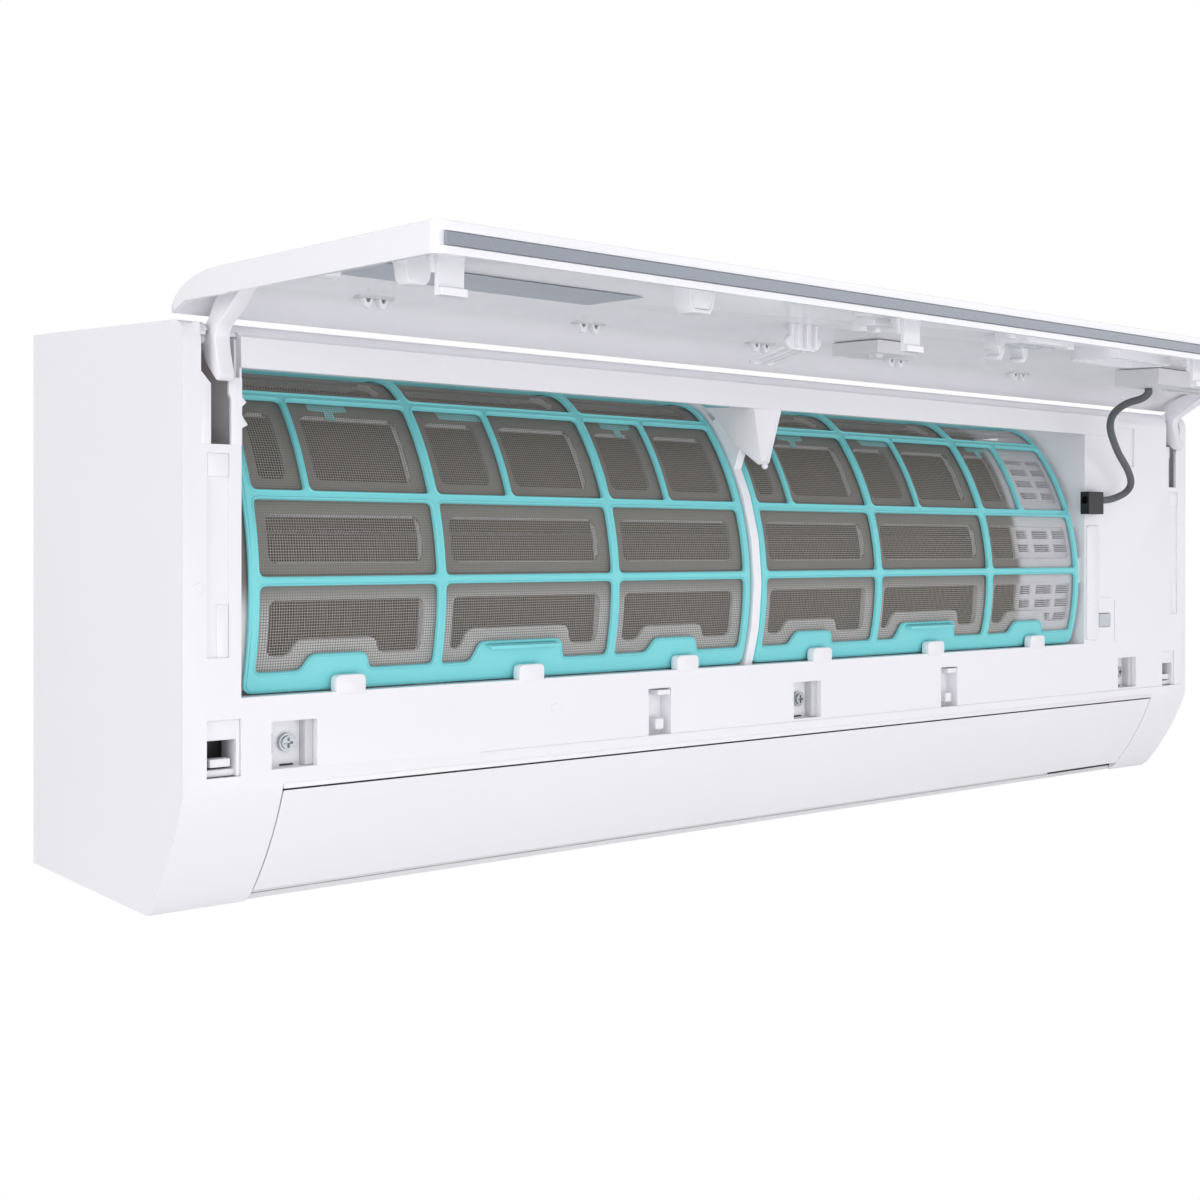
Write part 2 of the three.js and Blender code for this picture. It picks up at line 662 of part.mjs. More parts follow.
// ---- heat exchanger ----------------------------------------------------------------------------
const UPPER_FOOT = [-152.5, 56.5];
const UPPER_TOP = [-99.2, 113.5];
const REAR_TOP = [-54.8, 109.6];
const REAR_FOOT = [-26.8, 53.6];

// rectangle of the coil's depth, on the inner side of the line from a to b
function slab(a, b) {
  const length = Math.hypot(b[0] - a[0], b[1] - a[1]);
  const along = [(b[0] - a[0]) / length, (b[1] - a[1]) / length];
  const inward = [along[1], -along[0]];
  const at = (s, d) => [a[0] + along[0] * s + inward[0] * d, a[1] + along[1] * s + inward[1] * d];
  return [at(0, 0), at(length, 0), at(length, COIL_DEPTH), at(0, COIL_DEPTH)];
}

const SLABS = [
  slab([COIL_FACE, COIL_FOOT], [COIL_FACE, COIL_KNEE]),
  slab(UPPER_FOOT, UPPER_TOP),
  slab(REAR_TOP, REAR_FOOT),
];

// places of the two rows of tubes that cross a slab
function tubePlaces(corners, count) {
  const [a, b, c] = corners;
  const places = [];
  for (let row = 0; row < 2; row += 1) {
    const depth = (row + 0.5) / 2;
    for (let i = 0; i < count; i += 1) {
      const s = (i + 0.5) / count;
      const y = a[0] + (b[0] - a[0]) * s + (c[0] - b[0]) * depth;
      const z = a[1] + (b[1] - a[1]) * s + (c[1] - b[1]) * depth;
      places.push([y, z]);
    }
  }
  return places;
}

const TUBE_COUNTS = [3, 3, 3];
const TUBE_END = COIL_RIGHT + 14;

// the tubes in the order in which the refrigerant runs through them, to and fro
function tubeOrder() {
  const order = [];
  SLABS.forEach((corners, index) => {
    const count = TUBE_COUNTS[index];
    const places = tubePlaces(corners, count);
    for (let i = 0; i < count; i += 1) {
      const pair = [places[i], places[count + i]];
      order.push(...(i % 2 === 0 ? pair : pair.reverse()));
    }
  });
  return order;
}

function tubeHoles(x0, x1) {
  return tubeOrder().map(([y, z]) => rodX(y, z, PIPE_R + GAP, x0 - 1, x1 + 1, TUBE_SIDES));
}

function finPack(index) {
  const pack = prism(SLABS[index], COIL_LEFT, COIL_RIGHT);
  const count = TUBE_COUNTS[index];
  const holes = tubePlaces(SLABS[index], count).map(
    ([y, z]) => rodX(y, z, PIPE_R + GAP, COIL_LEFT - 1, COIL_RIGHT + 1, TUBE_SIDES));
  return cut(pack, holes);
}

function tubeSheet(x0, x1, flangeX) {
  const plates = SLABS.map((corners) => prism(corners, x0, x1));
  const links = [
    block(x0, x1, COIL_FACE, COIL_FACE + COIL_DEPTH, COIL_KNEE - 2, COIL_KNEE + 14),
    block(x0, x1, -96, -60, 92, 104),
  ];
  const low = Math.min(x0, flangeX);
  const high = Math.max(x1, flangeX);
  const flange = block(low, high, COIL_FACE + 6, COIL_FACE + COIL_DEPTH, COIL_FOOT + 2, COIL_FOOT + 2 + SHEET);
  return cut(join([...plates, ...links, flange]), tubeHoles(x0, x1));
}

// half ring that joins the ends of two tubes at x
function returnBend(x, side, a, b) {
  const r = Math.hypot(b[0] - a[0], b[1] - a[1]) / 2;
  const points = [];
  for (let i = 0; i <= 4; i += 1) {
    const turn = 45 * i;
    const share = (1 - cos(turn)) / 2;
    const out = side * r * sin(turn);
    points.push([x + out, a[0] + (b[0] - a[0]) * share, a[1] + (b[1] - a[1]) * share]);
  }
  points.unshift([x - side, a[0], a[1]]);
  points.push([x - side, b[0], b[1]]);
  return bentBar(points, PIPE_R - 0.5, 6, TUBE_SIDES);
}

function coilTubes() {
  const order = tubeOrder();
  const last = order.length - 1;
  const solids = [];
  order.forEach(([y, z], i) => {
    const left = COIL_LEFT - SHEET - 2 * GAP - 1;
    const right = i === 0 || i === last ? TUBE_END : COIL_RIGHT + SHEET + 2 * GAP + 1;
    solids.push(rodX(y, z, PIPE_R, left, right, TUBE_SIDES));
    if (i < last) {
      const x = i % 2 === 0 ? left : right;
      const end = i % 2 === 0 ? left : COIL_RIGHT + SHEET + 2 * GAP + 1;
      solids.push(returnBend(i % 2 === 0 ? x : end, i % 2 === 0 ? -1 : 1, order[i], order[i + 1]));
    }
  });
  return join(solids);
}

// ---- drain pan ---------------------------------------------------------------------------------
const PAN_FRONT = -157.5;
const PAN_BACK = -127;
const PAN_LEFT = BULKHEAD_LEFT + 2.8;
const PAN_RIGHT = BULKHEAD_RIGHT - 2.8;
const SPOUT_R = 7;
const SPOUT_Y = -142;
const SPOUT_Z = -49;

function drainPan() {
  const section = [[PAN_FRONT, -34], [PAN_FRONT, -60], [PAN_BACK, -66], [PAN_BACK, -36]];
  const trough = [
    [PAN_FRONT + SKIN, -30], [PAN_FRONT + SKIN, -57.6], [PAN_BACK - SKIN, -62.9], [PAN_BACK - SKIN, -30],
  ];
  const solids = [
    prism(section, PAN_LEFT, PAN_RIGHT),
    rodX(SPOUT_Y, SPOUT_Z, SPOUT_R, PAN_RIGHT - 1, PAN_RIGHT + 6, 20),
    rodX(SPOUT_Y, SPOUT_Z, SPOUT_R, PAN_LEFT - 6, PAN_LEFT + 1, 20),
  ];
  for (const x of SCREW_X.slice(0, 2)) {
    solids.push(block(x - 6, x + 6, SCREW_FLOOR + GAP, PAN_FRONT + 1, SCREW_Z - 4, SCREW_Z + 6));
  }
  const bores = [
    prism(trough, PAN_LEFT + SKIN, PAN_RIGHT - SKIN),
    rodX(SPOUT_Y, SPOUT_Z, SPOUT_R - 2, PAN_RIGHT - 5, PAN_RIGHT + 23, 20),
    rodX(SPOUT_Y, SPOUT_Z, SPOUT_R - 2, PAN_LEFT - 7, PAN_LEFT + 5, 20),
  ];
  for (const x of SCREW_X.slice(0, 2)) {
    bores.push(rodY(x, SCREW_Z, SHANK_R + GAP, SCREW_FLOOR, SCREW_TIP + GAP, 12));
  }
  return cut(join(solids), bores);
}

// ---- rear chassis ------------------------------------------------------------------------------
const SCROLL = [[-20, 48], [-17, 10], [-20, -30], [-34, -68], [-62, -98], [-98, -117], [-141, -131]];

function scrollLine(shift) {
  const curve = new THREE.CatmullRomCurve3(SCROLL.map(([y, z]) => new THREE.Vector3(0, y, z)));
  const points = [];
  for (let i = 0; i <= 16; i += 1) {
    const point = curve.getPoint(i / 16);
    const tangent = curve.getTangent(i / 16);
    points.push([point.y - shift * tangent.z, point.z + shift * tangent.y]);
  }
  return points;
}

const SIDE_WALL = [[-12, 44], [-134, 34], [-134, -36], [-150, -72], [-140, -126], [-136, -133], [-10, -128]];

function chassis() {
  const left = LEFT_SIDE + SKIN + 0.5;
  const right = RIGHT_SIDE - SKIN - 0.5;
  const foot = [[-137.5, -136.8], [CASING_BACK, -131.6], [CASING_BACK, -129.1], [-137.5, -134.3]];
  const solids = [
    block(left, right, BACK_WALL, BACK_WALL + SKIN, -131, CHASSIS_TOP),
    block(left, right, BACK_WALL, CASING_BACK, CHASSIS_TOP - SKIN, CHASSIS_TOP),
    block(left, left + SKIN, BACK_WALL, CASING_BACK, -130, CHASSIS_TOP),
    block(right - SKIN, right, BACK_WALL, CASING_BACK, -130, CHASSIS_TOP),
    prism(foot, left, right),
    prism([...scrollLine(0), ...scrollLine(SKIN).reverse()], BULKHEAD_LEFT + 1, BULKHEAD_RIGHT - 1),
    prism(SIDE_WALL, BULKHEAD_LEFT, BULKHEAD_LEFT + SKIN),
    prism(SIDE_WALL, BULKHEAD_RIGHT - SKIN, BULKHEAD_RIGHT),
    block(SCREW_X[2] - 6, SCREW_X[2] + 6, SCREW_FLOOR + GAP, BACK_WALL + 1, SCREW_Z - 5, SCREW_Z + 5),
    block(MOTOR_X0 + 8, MOTOR_X0 + 24, FAN_Y - 12, BACK_WALL + 1, FAN_Z - 60, FAN_Z - 50),
  ];
  for (const x of VANES) {
    solids.push(block(x - 5, x + 5, VANE_Y - 5, VANE_Y + 5, -134.5, -127.5));
  }
  const cuts = [
    rodX(FAN_Y, FAN_Z, BEARING_R + GAP, BULKHEAD_LEFT - 1, BULKHEAD_LEFT + SKIN + 1, 24),
    rodX(FAN_Y, FAN_Z, SHAFT_R + 3, BULKHEAD_RIGHT - SKIN - 1, BULKHEAD_RIGHT + 1, 20),
    rodX(SPOUT_Y, SPOUT_Z, SPOUT_R + GAP, BULKHEAD_LEFT - 1, BULKHEAD_LEFT + SKIN + 1, 20),
    rodX(SPOUT_Y, SPOUT_Z, SPOUT_R + GAP, BULKHEAD_RIGHT - SKIN - 1, BULKHEAD_RIGHT + 1, 20),
    rodY(SCREW_X[2], SCREW_Z, SHANK_R + GAP, SCREW_FLOOR, SCREW_FLOOR + 14, 12),
    block(LIQUID_X - 9, LIQUID_X + 9, PIPE_FOOT_Y - 12, PIPE_FOOT_Y + 12, -140, -125),
    block(GAS_X - 13, GAS_X + 13, PIPE_FOOT_Y - 13, PIPE_FOOT_Y + 13, -140, -125),
  ];
  for (const x of VANES) {
    cuts.push(rodZ(x, VANE_Y, VANE_PIN_R + GAP, -133, -120, 12));
  }
  for (const x of HOOK_X) {
    cuts.push(block(x - 14, x + 14, BACK_WALL - 1, BACK_WALL + SKIN + 1, 96.7, 99 + GAP));
  }
  return cut(join(solids), cuts);
}

// ---- wall plate --------------------------------------------------------------------------------
const HOOK_X = [-270, -90, 90, 270];

function wallPlate() {
  const w = PLATE_WIDTH / 2;
  const front = -PLATE_THICK;
  const bead = BACK_WALL + SKIN + GAP;
  const upper = PLATE_TOP - PLATE_THICK;
  const lower = PLATE_BOTTOM + PLATE_THICK;
  const side = [
    [0, PLATE_BOTTOM], [0, PLATE_TOP], [bead, PLATE_TOP], [bead, upper],
    [front, upper], [front, lower], [bead, lower], [bead, PLATE_BOTTOM],
  ];
  const solids = [prism(side, -w, w)];
  for (const x of HOOK_X) {
    solids.push(block(x - 12, x + 12, BACK_WALL - 3, front + 0.5, 97, 99));
    solids.push(block(x - 12, x + 12, BACK_WALL - 3, BACK_WALL - 1.5, 97, 108));
  }
  const cuts = [];
  for (let i = -2; i <= 2; i += 1) {
    cuts.push(block(i * 90 - 28, i * 90 + 28, -3, 1, -75, -15));
    cuts.push(rodY(i * 120, 60, 3, -3, 1, 8));
    cuts.push(rodY(i * 120, -90, 3, -3, 1, 8));
  }
  return cut(join(solids), cuts);
}

// ---- fan and motor -----------------------------------------------------------------------------
const BEARING_R = 11;
const MOTOR_X0 = BULKHEAD_RIGHT + 3;

function fanWheel() {
  const solids = [];
  const bladeRoot = FAN_R - 11;
  for (let i = 0; i < FAN_BLADES; i += 1) {
    const angle = 360 * i / FAN_BLADES;
    const lean = angle + 9;
    const thick = 1.6;
    const at = (r, a, side) => [
      FAN_Y + r * cos(a) - side * thick / 2 * sin(a),
      FAN_Z + r * sin(a) + side * thick / 2 * cos(a),
    ];
    const tip = FAN_R - 0.6;
    const blade = [at(tip, angle, 1), at(tip, angle, -1), at(bladeRoot, lean, -1), at(bladeRoot, lean, 1)];
    solids.push(prism(blade, FAN_LEFT + 1, FAN_RIGHT - 1));
  }
  for (let i = 0; i < FAN_DISCS; i += 1) {
    const x = FAN_LEFT + (FAN_RIGHT - FAN_LEFT - 2) * i / (FAN_DISCS - 1);
    const disc = rodX(FAN_Y, FAN_Z, FAN_R, x, x + 2, FAN_BLADES);
    const end = i === 0 || i === FAN_DISCS - 1;
    solids.push(end ? disc : disc.subtract(rodX(FAN_Y, FAN_Z, bladeRoot - 3, x - 1, x + 3, FAN_BLADES)));
  }
  solids.push(rodX(FAN_Y, FAN_Z, SHAFT_R + 5, FAN_RIGHT - 3, FAN_RIGHT + 6, 20));
  solids.push(rodX(FAN_Y, FAN_Z, SHAFT_R + 5, FAN_LEFT - 2, FAN_LEFT + 6, 20));
  return cut(join(solids), [
    rodX(FAN_Y, FAN_Z, SHAFT_R + GAP, FAN_LEFT - 5, FAN_LEFT + 9, 20),
    rodX(FAN_Y, FAN_Z, SHAFT_R + GAP, FAN_RIGHT - 6, FAN_RIGHT + 9, 20),
  ]);
}

function fanBearing() {
  const seat = rodX(FAN_Y, FAN_Z, BEARING_R, BULKHEAD_LEFT - 2, FAN_LEFT - 3, 24);
  return seat.subtract(rodX(FAN_Y, FAN_Z, SHAFT_R + GAP, BULKHEAD_LEFT - 3, FAN_LEFT, 20));
}

function fanMotor() {
  const x0 = MOTOR_X0;
  const x1 = x0 + MOTOR_LENGTH;
  const body = join([
    rodX(FAN_Y, FAN_Z, MOTOR_R, x0 + 5, x1 - 4, 32),
    rodX(FAN_Y, FAN_Z, MOTOR_R - 8, x0 + 2, x1, 32),
    rodX(FAN_Y, FAN_Z, 13, x0, x1 + 2, 24),
  ]);
  return body.subtract(rodX(FAN_Y, FAN_Z, SHAFT_R + GAP, x0 - 1, x0 + 24, 20));
}

function motorBracket() {
  const x0 = MOTOR_X0 + 10;
  const x1 = x0 + 12;
  const ring = rodX(FAN_Y, FAN_Z, MOTOR_R + 4, x0, x1, 32).subtract(
    rodX(FAN_Y, FAN_Z, MOTOR_R + GAP, x0 - 1, x1 + 1, 32));
  const arm = block(x0, x1, FAN_Y + MOTOR_R, BACK_WALL - GAP, FAN_Z - 8, FAN_Z + 8);
  const foot = block(x0, x1, FAN_Y - 8, FAN_Y + 8, FAN_Z - 50 + GAP, FAN_Z - MOTOR_R - 2);
  return join([ring, arm.subtract(rodX(FAN_Y, FAN_Z, MOTOR_R + GAP, x0 - 1, x1 + 1, 32)), foot]);
}

// ---- pipes -------------------------------------------------------------------------------------
const GAS_X = BULKHEAD_RIGHT + 35.3;
const GAS_R = 6.3;
const GAS_Y = -21;
const LIQUID_X = BULKHEAD_RIGHT + 8.8;
const LIQUID_R = 3.2;
const NUT_HEIGHT = 18;
const PIPE_END = -112;
const PIPE_FOOT_Y = -32;

function gasPipe() {
  const order = tubeOrder();
  const [y, z] = order[order.length - 1];
  const points = [
    [TUBE_END + GAP, y, z], [TUBE_END + 16, y, z], [GAS_X - 4, y + 4, z - 4], [GAS_X, GAS_Y, z - 22],
    [GAS_X, GAS_Y, 0], [GAS_X, GAS_Y, -60], [GAS_X, PIPE_FOOT_Y + 2, -88], [GAS_X, PIPE_FOOT_Y, -104],
    [GAS_X, PIPE_FOOT_Y, PIPE_END],
  ];
  return bentBar(points, GAS_R, 18, 8);
}

function liquidPipe() {
  const [y, z] = tubeOrder()[0];
  const points = [
    [TUBE_END + GAP, y, z], [TUBE_END + 8, y, z], [LIQUID_X, y, z - 10], [LIQUID_X, y, -60],
    [LIQUID_X, y + 4, -80], [LIQUID_X, y + 20, -86], [LIQUID_X, -90, -86], [LIQUID_X, PIPE_FOOT_Y - 18, -86],
    [LIQUID_X, PIPE_FOOT_Y - 3, -92], [LIQUID_X, PIPE_FOOT_Y, -104], [LIQUID_X, PIPE_FOOT_Y, PIPE_END],
  ];
  return bentBar(points, LIQUID_R, 24, 6);
}

function flareNut(x, r) {
  const nut = rodZ(x, PIPE_FOOT_Y, r + 4.5, PIPE_END - NUT_HEIGHT + 2, PIPE_END + 2, 6);
  return nut.subtract(rodZ(x, PIPE_FOOT_Y, r + GAP, PIPE_END - NUT_HEIGHT, PIPE_END + 3, 16));
}

// ---- control bay -------------------------------------------------------------------------------
const BOX_X1 = RIGHT_SIDE - 6.5;
const BOX_X0 = BOX_X1 - 30.5;
const BOX_FRONT = -152;
const BOX_TOP = 100;
const BOX_FOOT = -40;

function controlBox() {
  const back = BACK_WALL - GAP;
  const outer = block(BOX_X0, BOX_X1, BOX_FRONT, back, BOX_FOOT, BOX_TOP);
  return outer.subtract(block(BOX_X0 - 1, BOX_X1 - 2, BOX_FRONT + 2, back - 2, BOX_FOOT + 2, BOX_TOP - 2));
}

function controlBoard() {
  const x1 = BOX_X1 - 2 - GAP;
  const x0 = x1 - 1.6;
  const parts = [
    block(x0, x1, BOX_FRONT + 4, -20, BOX_FOOT + 5, BOX_TOP - 5),
    block(x0 - 18, x0 + 0.5, -144, -120, 60, 92),
    block(x0 - 14, x0 + 0.5, -110, -94, 66, 90),
    block(x0 - 14, x0 + 0.5, -88, -72, 66, 90),
    block(x0 - 8, x0 + 0.5, -144, -110, 0, 12),
    block(x0 - 10, x0 + 0.5, -60, -35, 20, 40),
  ];
  for (const [y, z] of [[-60, 80], [-40, 80], [-100, 30], [-80, 30]]) {
    parts.push(rodX(y, z, 7, x0 - 20, x0 + 0.5, 14));
  }
  return join(parts);
}

function boxCover() {
  const x1 = BOX_X0 - GAP;
  return join([
    block(x1 - 1.5, x1, BOX_FRONT, BACK_WALL - GAP, BOX_FOOT, BOX_TOP),
    block(x1 - 0.5, BOX_X0 + 6, BOX_FRONT + 2 + GAP, BOX_FRONT + 4, BOX_FOOT + 4, BOX_TOP - 6),
  ]);
}

function terminalBlock() {
  const top = BOX_FOOT - GAP;
  const x0 = BOX_X0 + 6;
  const body = block(x0, x0 + 24, -140, -100, top - 15, top);
  const cuts = [];
  for (let i = 0; i < 4; i += 1) {
    cuts.push(block(x0 - 1, x0 + 10, -138 + i * 9.5, -131 + i * 9.5, top - 16, top - 6));
  }
  return cut(body, cuts);
}

function casingScrew(x) {
  const seat = SCREW_FLOOR - SKIN - GAP;
  const head = join([
    rodY(x, SCREW_Z, HEAD_R, seat - 2.2, seat, 12),
    rodY(x, SCREW_Z, HEAD_R - 1.2, seat - 3, seat - 1, 12),
    rodY(x, SCREW_Z, SHANK_R, seat - 1, SCREW_TIP, 8),
  ]);
  const cross = [
    block(x - 2.4, x + 2.4, seat - 4, seat - 1.6, SCREW_Z - 0.6, SCREW_Z + 0.6),
    block(x - 0.6, x + 0.6, seat - 4, seat - 1.6, SCREW_Z - 2.4, SCREW_Z + 2.4),
  ];
  return cut(head, cross);
}

function manualButton() {
  const w = BUTTON_WIDTH / 2;
  const h = BUTTON_HEIGHT / 2;
  const back = FRONT + SKIN + GAP;
  return join([
    block(BUTTON_X - w, BUTTON_X + w, FRONT - 1.8, back + 2, BUTTON_Z - h, BUTTON_Z + h),
    block(BUTTON_X - w - 2, BUTTON_X + w + 2, back, back + 1.8, BUTTON_Z - h - 2, BUTTON_Z + h + 2),
  ]);
}

function cableClip() {
  const x = OPEN_RIGHT + 3;
  const z = 64;
  const body = block(x - 9, x + 9, FRONT - 7.5, FRONT - GAP, z - 8, z + 8);
  return body.subtract(rodX(FRONT - 3.6, z + 2, CABLE_R + GAP, x - 10, x + 10, 16));
}

// ---- vanes -------------------------------------------------------------------------------------
const VANE_PIN_R = 2.2;
const VANES = [];
for (let i = 0; i < VANE_COUNT; i += 1) {
  const middle = (BULKHEAD_LEFT + BULKHEAD_RIGHT) / 2;
  VANES.push(middle + (i - (VANE_COUNT - 1) / 2) * VANE_PITCH);
}

function vane() {
  const blade = [[-112, -70], [-146, -66], [-149, -82], [-140.5, -126], [-112, -117.5]];
  const body = prism(blade, -VANE_THICK / 2, VANE_THICK / 2);
  const notch = block(-3, 3, LINK_Y - 5, -110, LINK_Z - 1.9, LINK_Z + 1.9);
  const pin = rodZ(0, VANE_Y, VANE_PIN_R, -131.5, -120, 12);
  return body.subtract(notch).add(pin);
}

function linkBar(set) {
  const half = VANE_COUNT / 2;
  const x0 = VANES[set * half] - 14;
  const x1 = VANES[set * half + half - 1] + 14;
  return block(x0, x1, LINK_Y - 1, LINK_Y + 1, LINK_Z - 1.5, LINK_Z + 1.5);
}

// ---- front panel, drawn shut and measured from its hinge line ----------------------------------
const FACE = PANEL_FACE - HINGE_Y;
const FOOT = PANEL_FOOT - HINGE_Z;
const TOP = PANEL_TOP - HINGE_Z;
const RIM = FACE + PANEL_DEPTH;
const CURL_FOOT = -42;           // from here up, the face curls back towards the casing's top
const CURL_KNEE = -6;
const CURL_TIP = -12;
const TRIM_Y0 = FACE + 4;
const TRIM_HEIGHT = 4.7;
const TRIM_DEPTH = 1.2;

function roundedPlate(x, z0, z1, r, y0, y1) {
  const shape = new THREE.Shape();
  shape.moveTo(-x + r, z0);
  shape.lineTo(x - r, z0);
  shape.quadraticCurveTo(x, z0, x, z0 + r);
  shape.lineTo(x, z1 - r);
  shape.quadraticCurveTo(x, z1, x - r, z1);
  shape.lineTo(-x + r, z1);
  shape.quadraticCurveTo(-x, z1, -x, z1 - r);
  shape.lineTo(-x, z0 + r);
  shape.quadraticCurveTo(-x, z0, -x + r, z0);
  const geometry = new THREE.ExtrudeGeometry(shape, { depth: y1 - y0, bevelEnabled: false, curveSegments: 4 });
  geometry.rotateX(Math.PI / 2);
  geometry.translate(0, y1, 0);
  return solidOf(geometry);
}

// the panel's face seen from the side, `inset` inside its outer surface, up to its top edge
function panelLine(inset) {
  const points = [[FACE + inset, FOOT - 1]];
  const steps = 6;
  for (let i = 0; i <= steps; i += 1) {
    const t = i / steps;
    const y = FACE + (CURL_TIP - FACE) * t * t;
    const z = CURL_FOOT * (1 - t) * (1 - t) + 2 * CURL_KNEE * t * (1 - t) + TOP * t * t;
    const dy = (CURL_TIP - FACE) * t;
    const dz = (CURL_KNEE - CURL_FOOT) * (1 - t) + (TOP - CURL_KNEE) * t;
    const length = Math.hypot(dy, dz);
    points.push([y + inset * dz / length, z - inset * dy / length]);
  }
  return points;
}

function frontPanel() {
  const half = UNIT_WIDTH / 2;
  const side = [...panelLine(0), panelLine(SKIN).pop(), [RIM, -10], [RIM, FOOT - 1]];
  const outer = roundedPlate(half, FOOT, TOP + 1, 6, FACE - 1, 1).intersect(prism(side, -half - 1, half + 1));
  const line = panelLine(SKIN);
  const [lastY, lastZ] = line[line.length - 1];
  const [tipY, tipZ] = panelLine(0).pop();
  const room = [...line, [2 * lastY - tipY, 2 * lastZ - tipZ], [5, lastZ], [5, FOOT - 1]];
  const inner = roundedPlate(half - SKIN, FOOT + SKIN, TOP + 1, 4, FACE - 1, 4);
  const hollow = inner.intersect(prism(room, -half, half));
  const solids = [outer.subtract(hollow).translate([MIDDLE, 0, 0])];
  for (const x of LATCH_X) {
    const z = LATCH_Z - HINGE_Z;
    const root = FACE + SKIN - 0.5;
    const tip = RIM + 12;
    solids.push(block(x - 6, x + 6, root, tip, z - 1, z + 1.2));
    solids.push(block(x - 6, x + 6, tip - 3, tip, z - 3.4, z));
  }
  const grooveTop = TRIM_Y0 + TRIM_HEIGHT + GAP;
  return join(solids).subtract(
    block(LEFT_SIDE - 1, RIGHT_SIDE + 1, TRIM_Y0 - GAP, grooveTop, FOOT - 1, FOOT + TRIM_DEPTH));
}

function trimStrip() {
  const top = TRIM_Y0 + TRIM_HEIGHT;
  return block(LEFT_SIDE + 4, RIGHT_SIDE - 4, TRIM_Y0, top, FOOT - 0.4, FOOT + TRIM_DEPTH - GAP);
}

function panelArm() {
  const x0 = -ARM_THICK / 2;
  const x1 = ARM_THICK / 2;
  const root = FACE + SKIN + GAP;
  const outline = [
    [root, -38], [root + 2, -12], [RIM + 3, -10], [-8, -5], [-3, 4.5], [3, 5], [6, 0], [12, -4], [20, -14],
    [17.5, -17.5], [9, -14], [-3, -11], [RIM + 3, -26],
  ];
  const skin = prism([...panelLine(SKIN + GAP), [FACE, TOP + 3], [FACE - 3, FOOT]], x0 - 1, x1 + 1);
  return join([
    prism(outline, x0, x1).subtract(skin),
    rodX(0, 0, PIN_R, x0 - 8.5, x1 + 8.5, 16),
  ]);
}

const DISPLAY_X0 = OPEN_RIGHT - 70;
const DISPLAY_X1 = DISPLAY_X0 + 100;

function displayHousing() {
  const root = FACE + SKIN + GAP;
  const outer = block(DISPLAY_X0, DISPLAY_X1, root, RIM + 1, -110, -78);
  const room = block(DISPLAY_X0 + 2, DISPLAY_X1 - 2, root - 1, RIM - 1, -108, -80);
  const windows = [];
  for (let i = 0; i < 6; i += 1) {
    const x = DISPLAY_X0 + 44 + i * 8.6;
    windows.push(block(x, x + 5.6, RIM - 3, RIM + 2, -106, -96));
    windows.push(block(x, x + 5.6, RIM - 3, RIM + 2, -92, -82));
  }
  return cut(outer, [room, ...windows]);
}

function displayBoard() {
  const root = FACE + SKIN + 2 * GAP;
  return join([
    block(DISPLAY_X0 + 3, DISPLAY_X1 - 3, root, root + 1.6, -107, -81),
    block(DISPLAY_X0 + 10, DISPLAY_X0 + 30, root + 1, root + 4.5, -104, -90),
    block(DISPLAY_X0 + 60, DISPLAY_X0 + 68, root + 1, root + 4, -98, -88),
  ]);
}

const SENSOR_X = -14;

function sensorBox() {
  const root = FACE + SKIN + GAP;
  return join([
    block(SENSOR_X, SENSOR_X + 32, root, RIM - 2, -84, -50),
    block(SENSOR_X + 6, SENSOR_X + 12, RIM - 3, RIM, -78, -72),
  ]);
}

function panelLabel() {
  const root = FACE + SKIN + GAP;
  return block(ARM_X[0] + 6, ARM_X[0] + 157, root, root + 0.4, -118, -78);
}

// ---- display lead, from the panel down to the clip on the casing -------------------------------
const CABLE_R = 2.5;
const CABLE_ROUTE = [
  [-43, -251.6, 137.3], [-43, -251.4, 134.1], [-44, -247, 130.8], [-46, -238, 128.4], [-46.4, -230, 124],
  [-43.5, -224, 118.6], [-34.4, -218, 110.8], [-10, -208, 98.6], [15, -200, 87.2], [30.3, -193, 78.5],
  [33.7, -186.5, 72], [26, -181, 67.5], [16, -178.8, 66.2], [12.4, -178.6, 66],
].map(([x, y, z]) => [OPEN_RIGHT + x, y, z]);

// ---- the assembly ------------------------------------------------------------------------------
addPiece('wall_plate', wallPlate(), STEEL);
addPiece('rear_chassis', chassis(), WHITE);
addPiece('drain_pan', drainPan(), WHITE);
addPiece('drain_plug', rodX(SPOUT_Y, SPOUT_Z, SPOUT_R - 2 - GAP, PAN_LEFT - 8, PAN_LEFT - 1, 20), BLACK);
addPiece('front_casing', frontCasing(), WHITE);
addPiece('coil_guard', coilGuard(), WHITE);
addPiece('coil_front_lower', finPack(0), ALUMINIUM);
addPiece('coil_front_upper', finPack(1), ALUMINIUM);
addPiece('coil_rear', finPack(2), ALUMINIUM);
const sheetLeft = COIL_LEFT - GAP;
const sheetRight = COIL_RIGHT + GAP;
addPiece('tube_sheet_left', tubeSheet(sheetLeft - SHEET, sheetLeft, BULKHEAD_LEFT + SKIN + GAP), STEEL);
addPiece('tube_sheet_right', tubeSheet(sheetRight, sheetRight + SHEET, BULKHEAD_RIGHT - SKIN - GAP), STEEL);
addPiece('coil_tubes', coilTubes(), COPPER);
addPiece('gas_pipe', gasPipe(), COPPER);
addPiece('liquid_pipe', liquidPipe(), COPPER);
addPiece('gas_flare_nut', flareNut(GAS_X, GAS_R), BRASS);
addPiece('liquid_flare_nut', flareNut(LIQUID_X, LIQUID_R), BRASS);
addPiece('cross_flow_fan', fanWheel(), DARK);
addPiece('fan_shaft', rodX(FAN_Y, FAN_Z, SHAFT_R, BULKHEAD_LEFT - 1, MOTOR_X0 + 20, 20), STEEL);
addPiece('fan_bearing', fanBearing(), BLACK);
addPiece('fan_motor', fanMotor(), STEEL);
addPiece('motor_bracket', motorBracket(), WHITE);
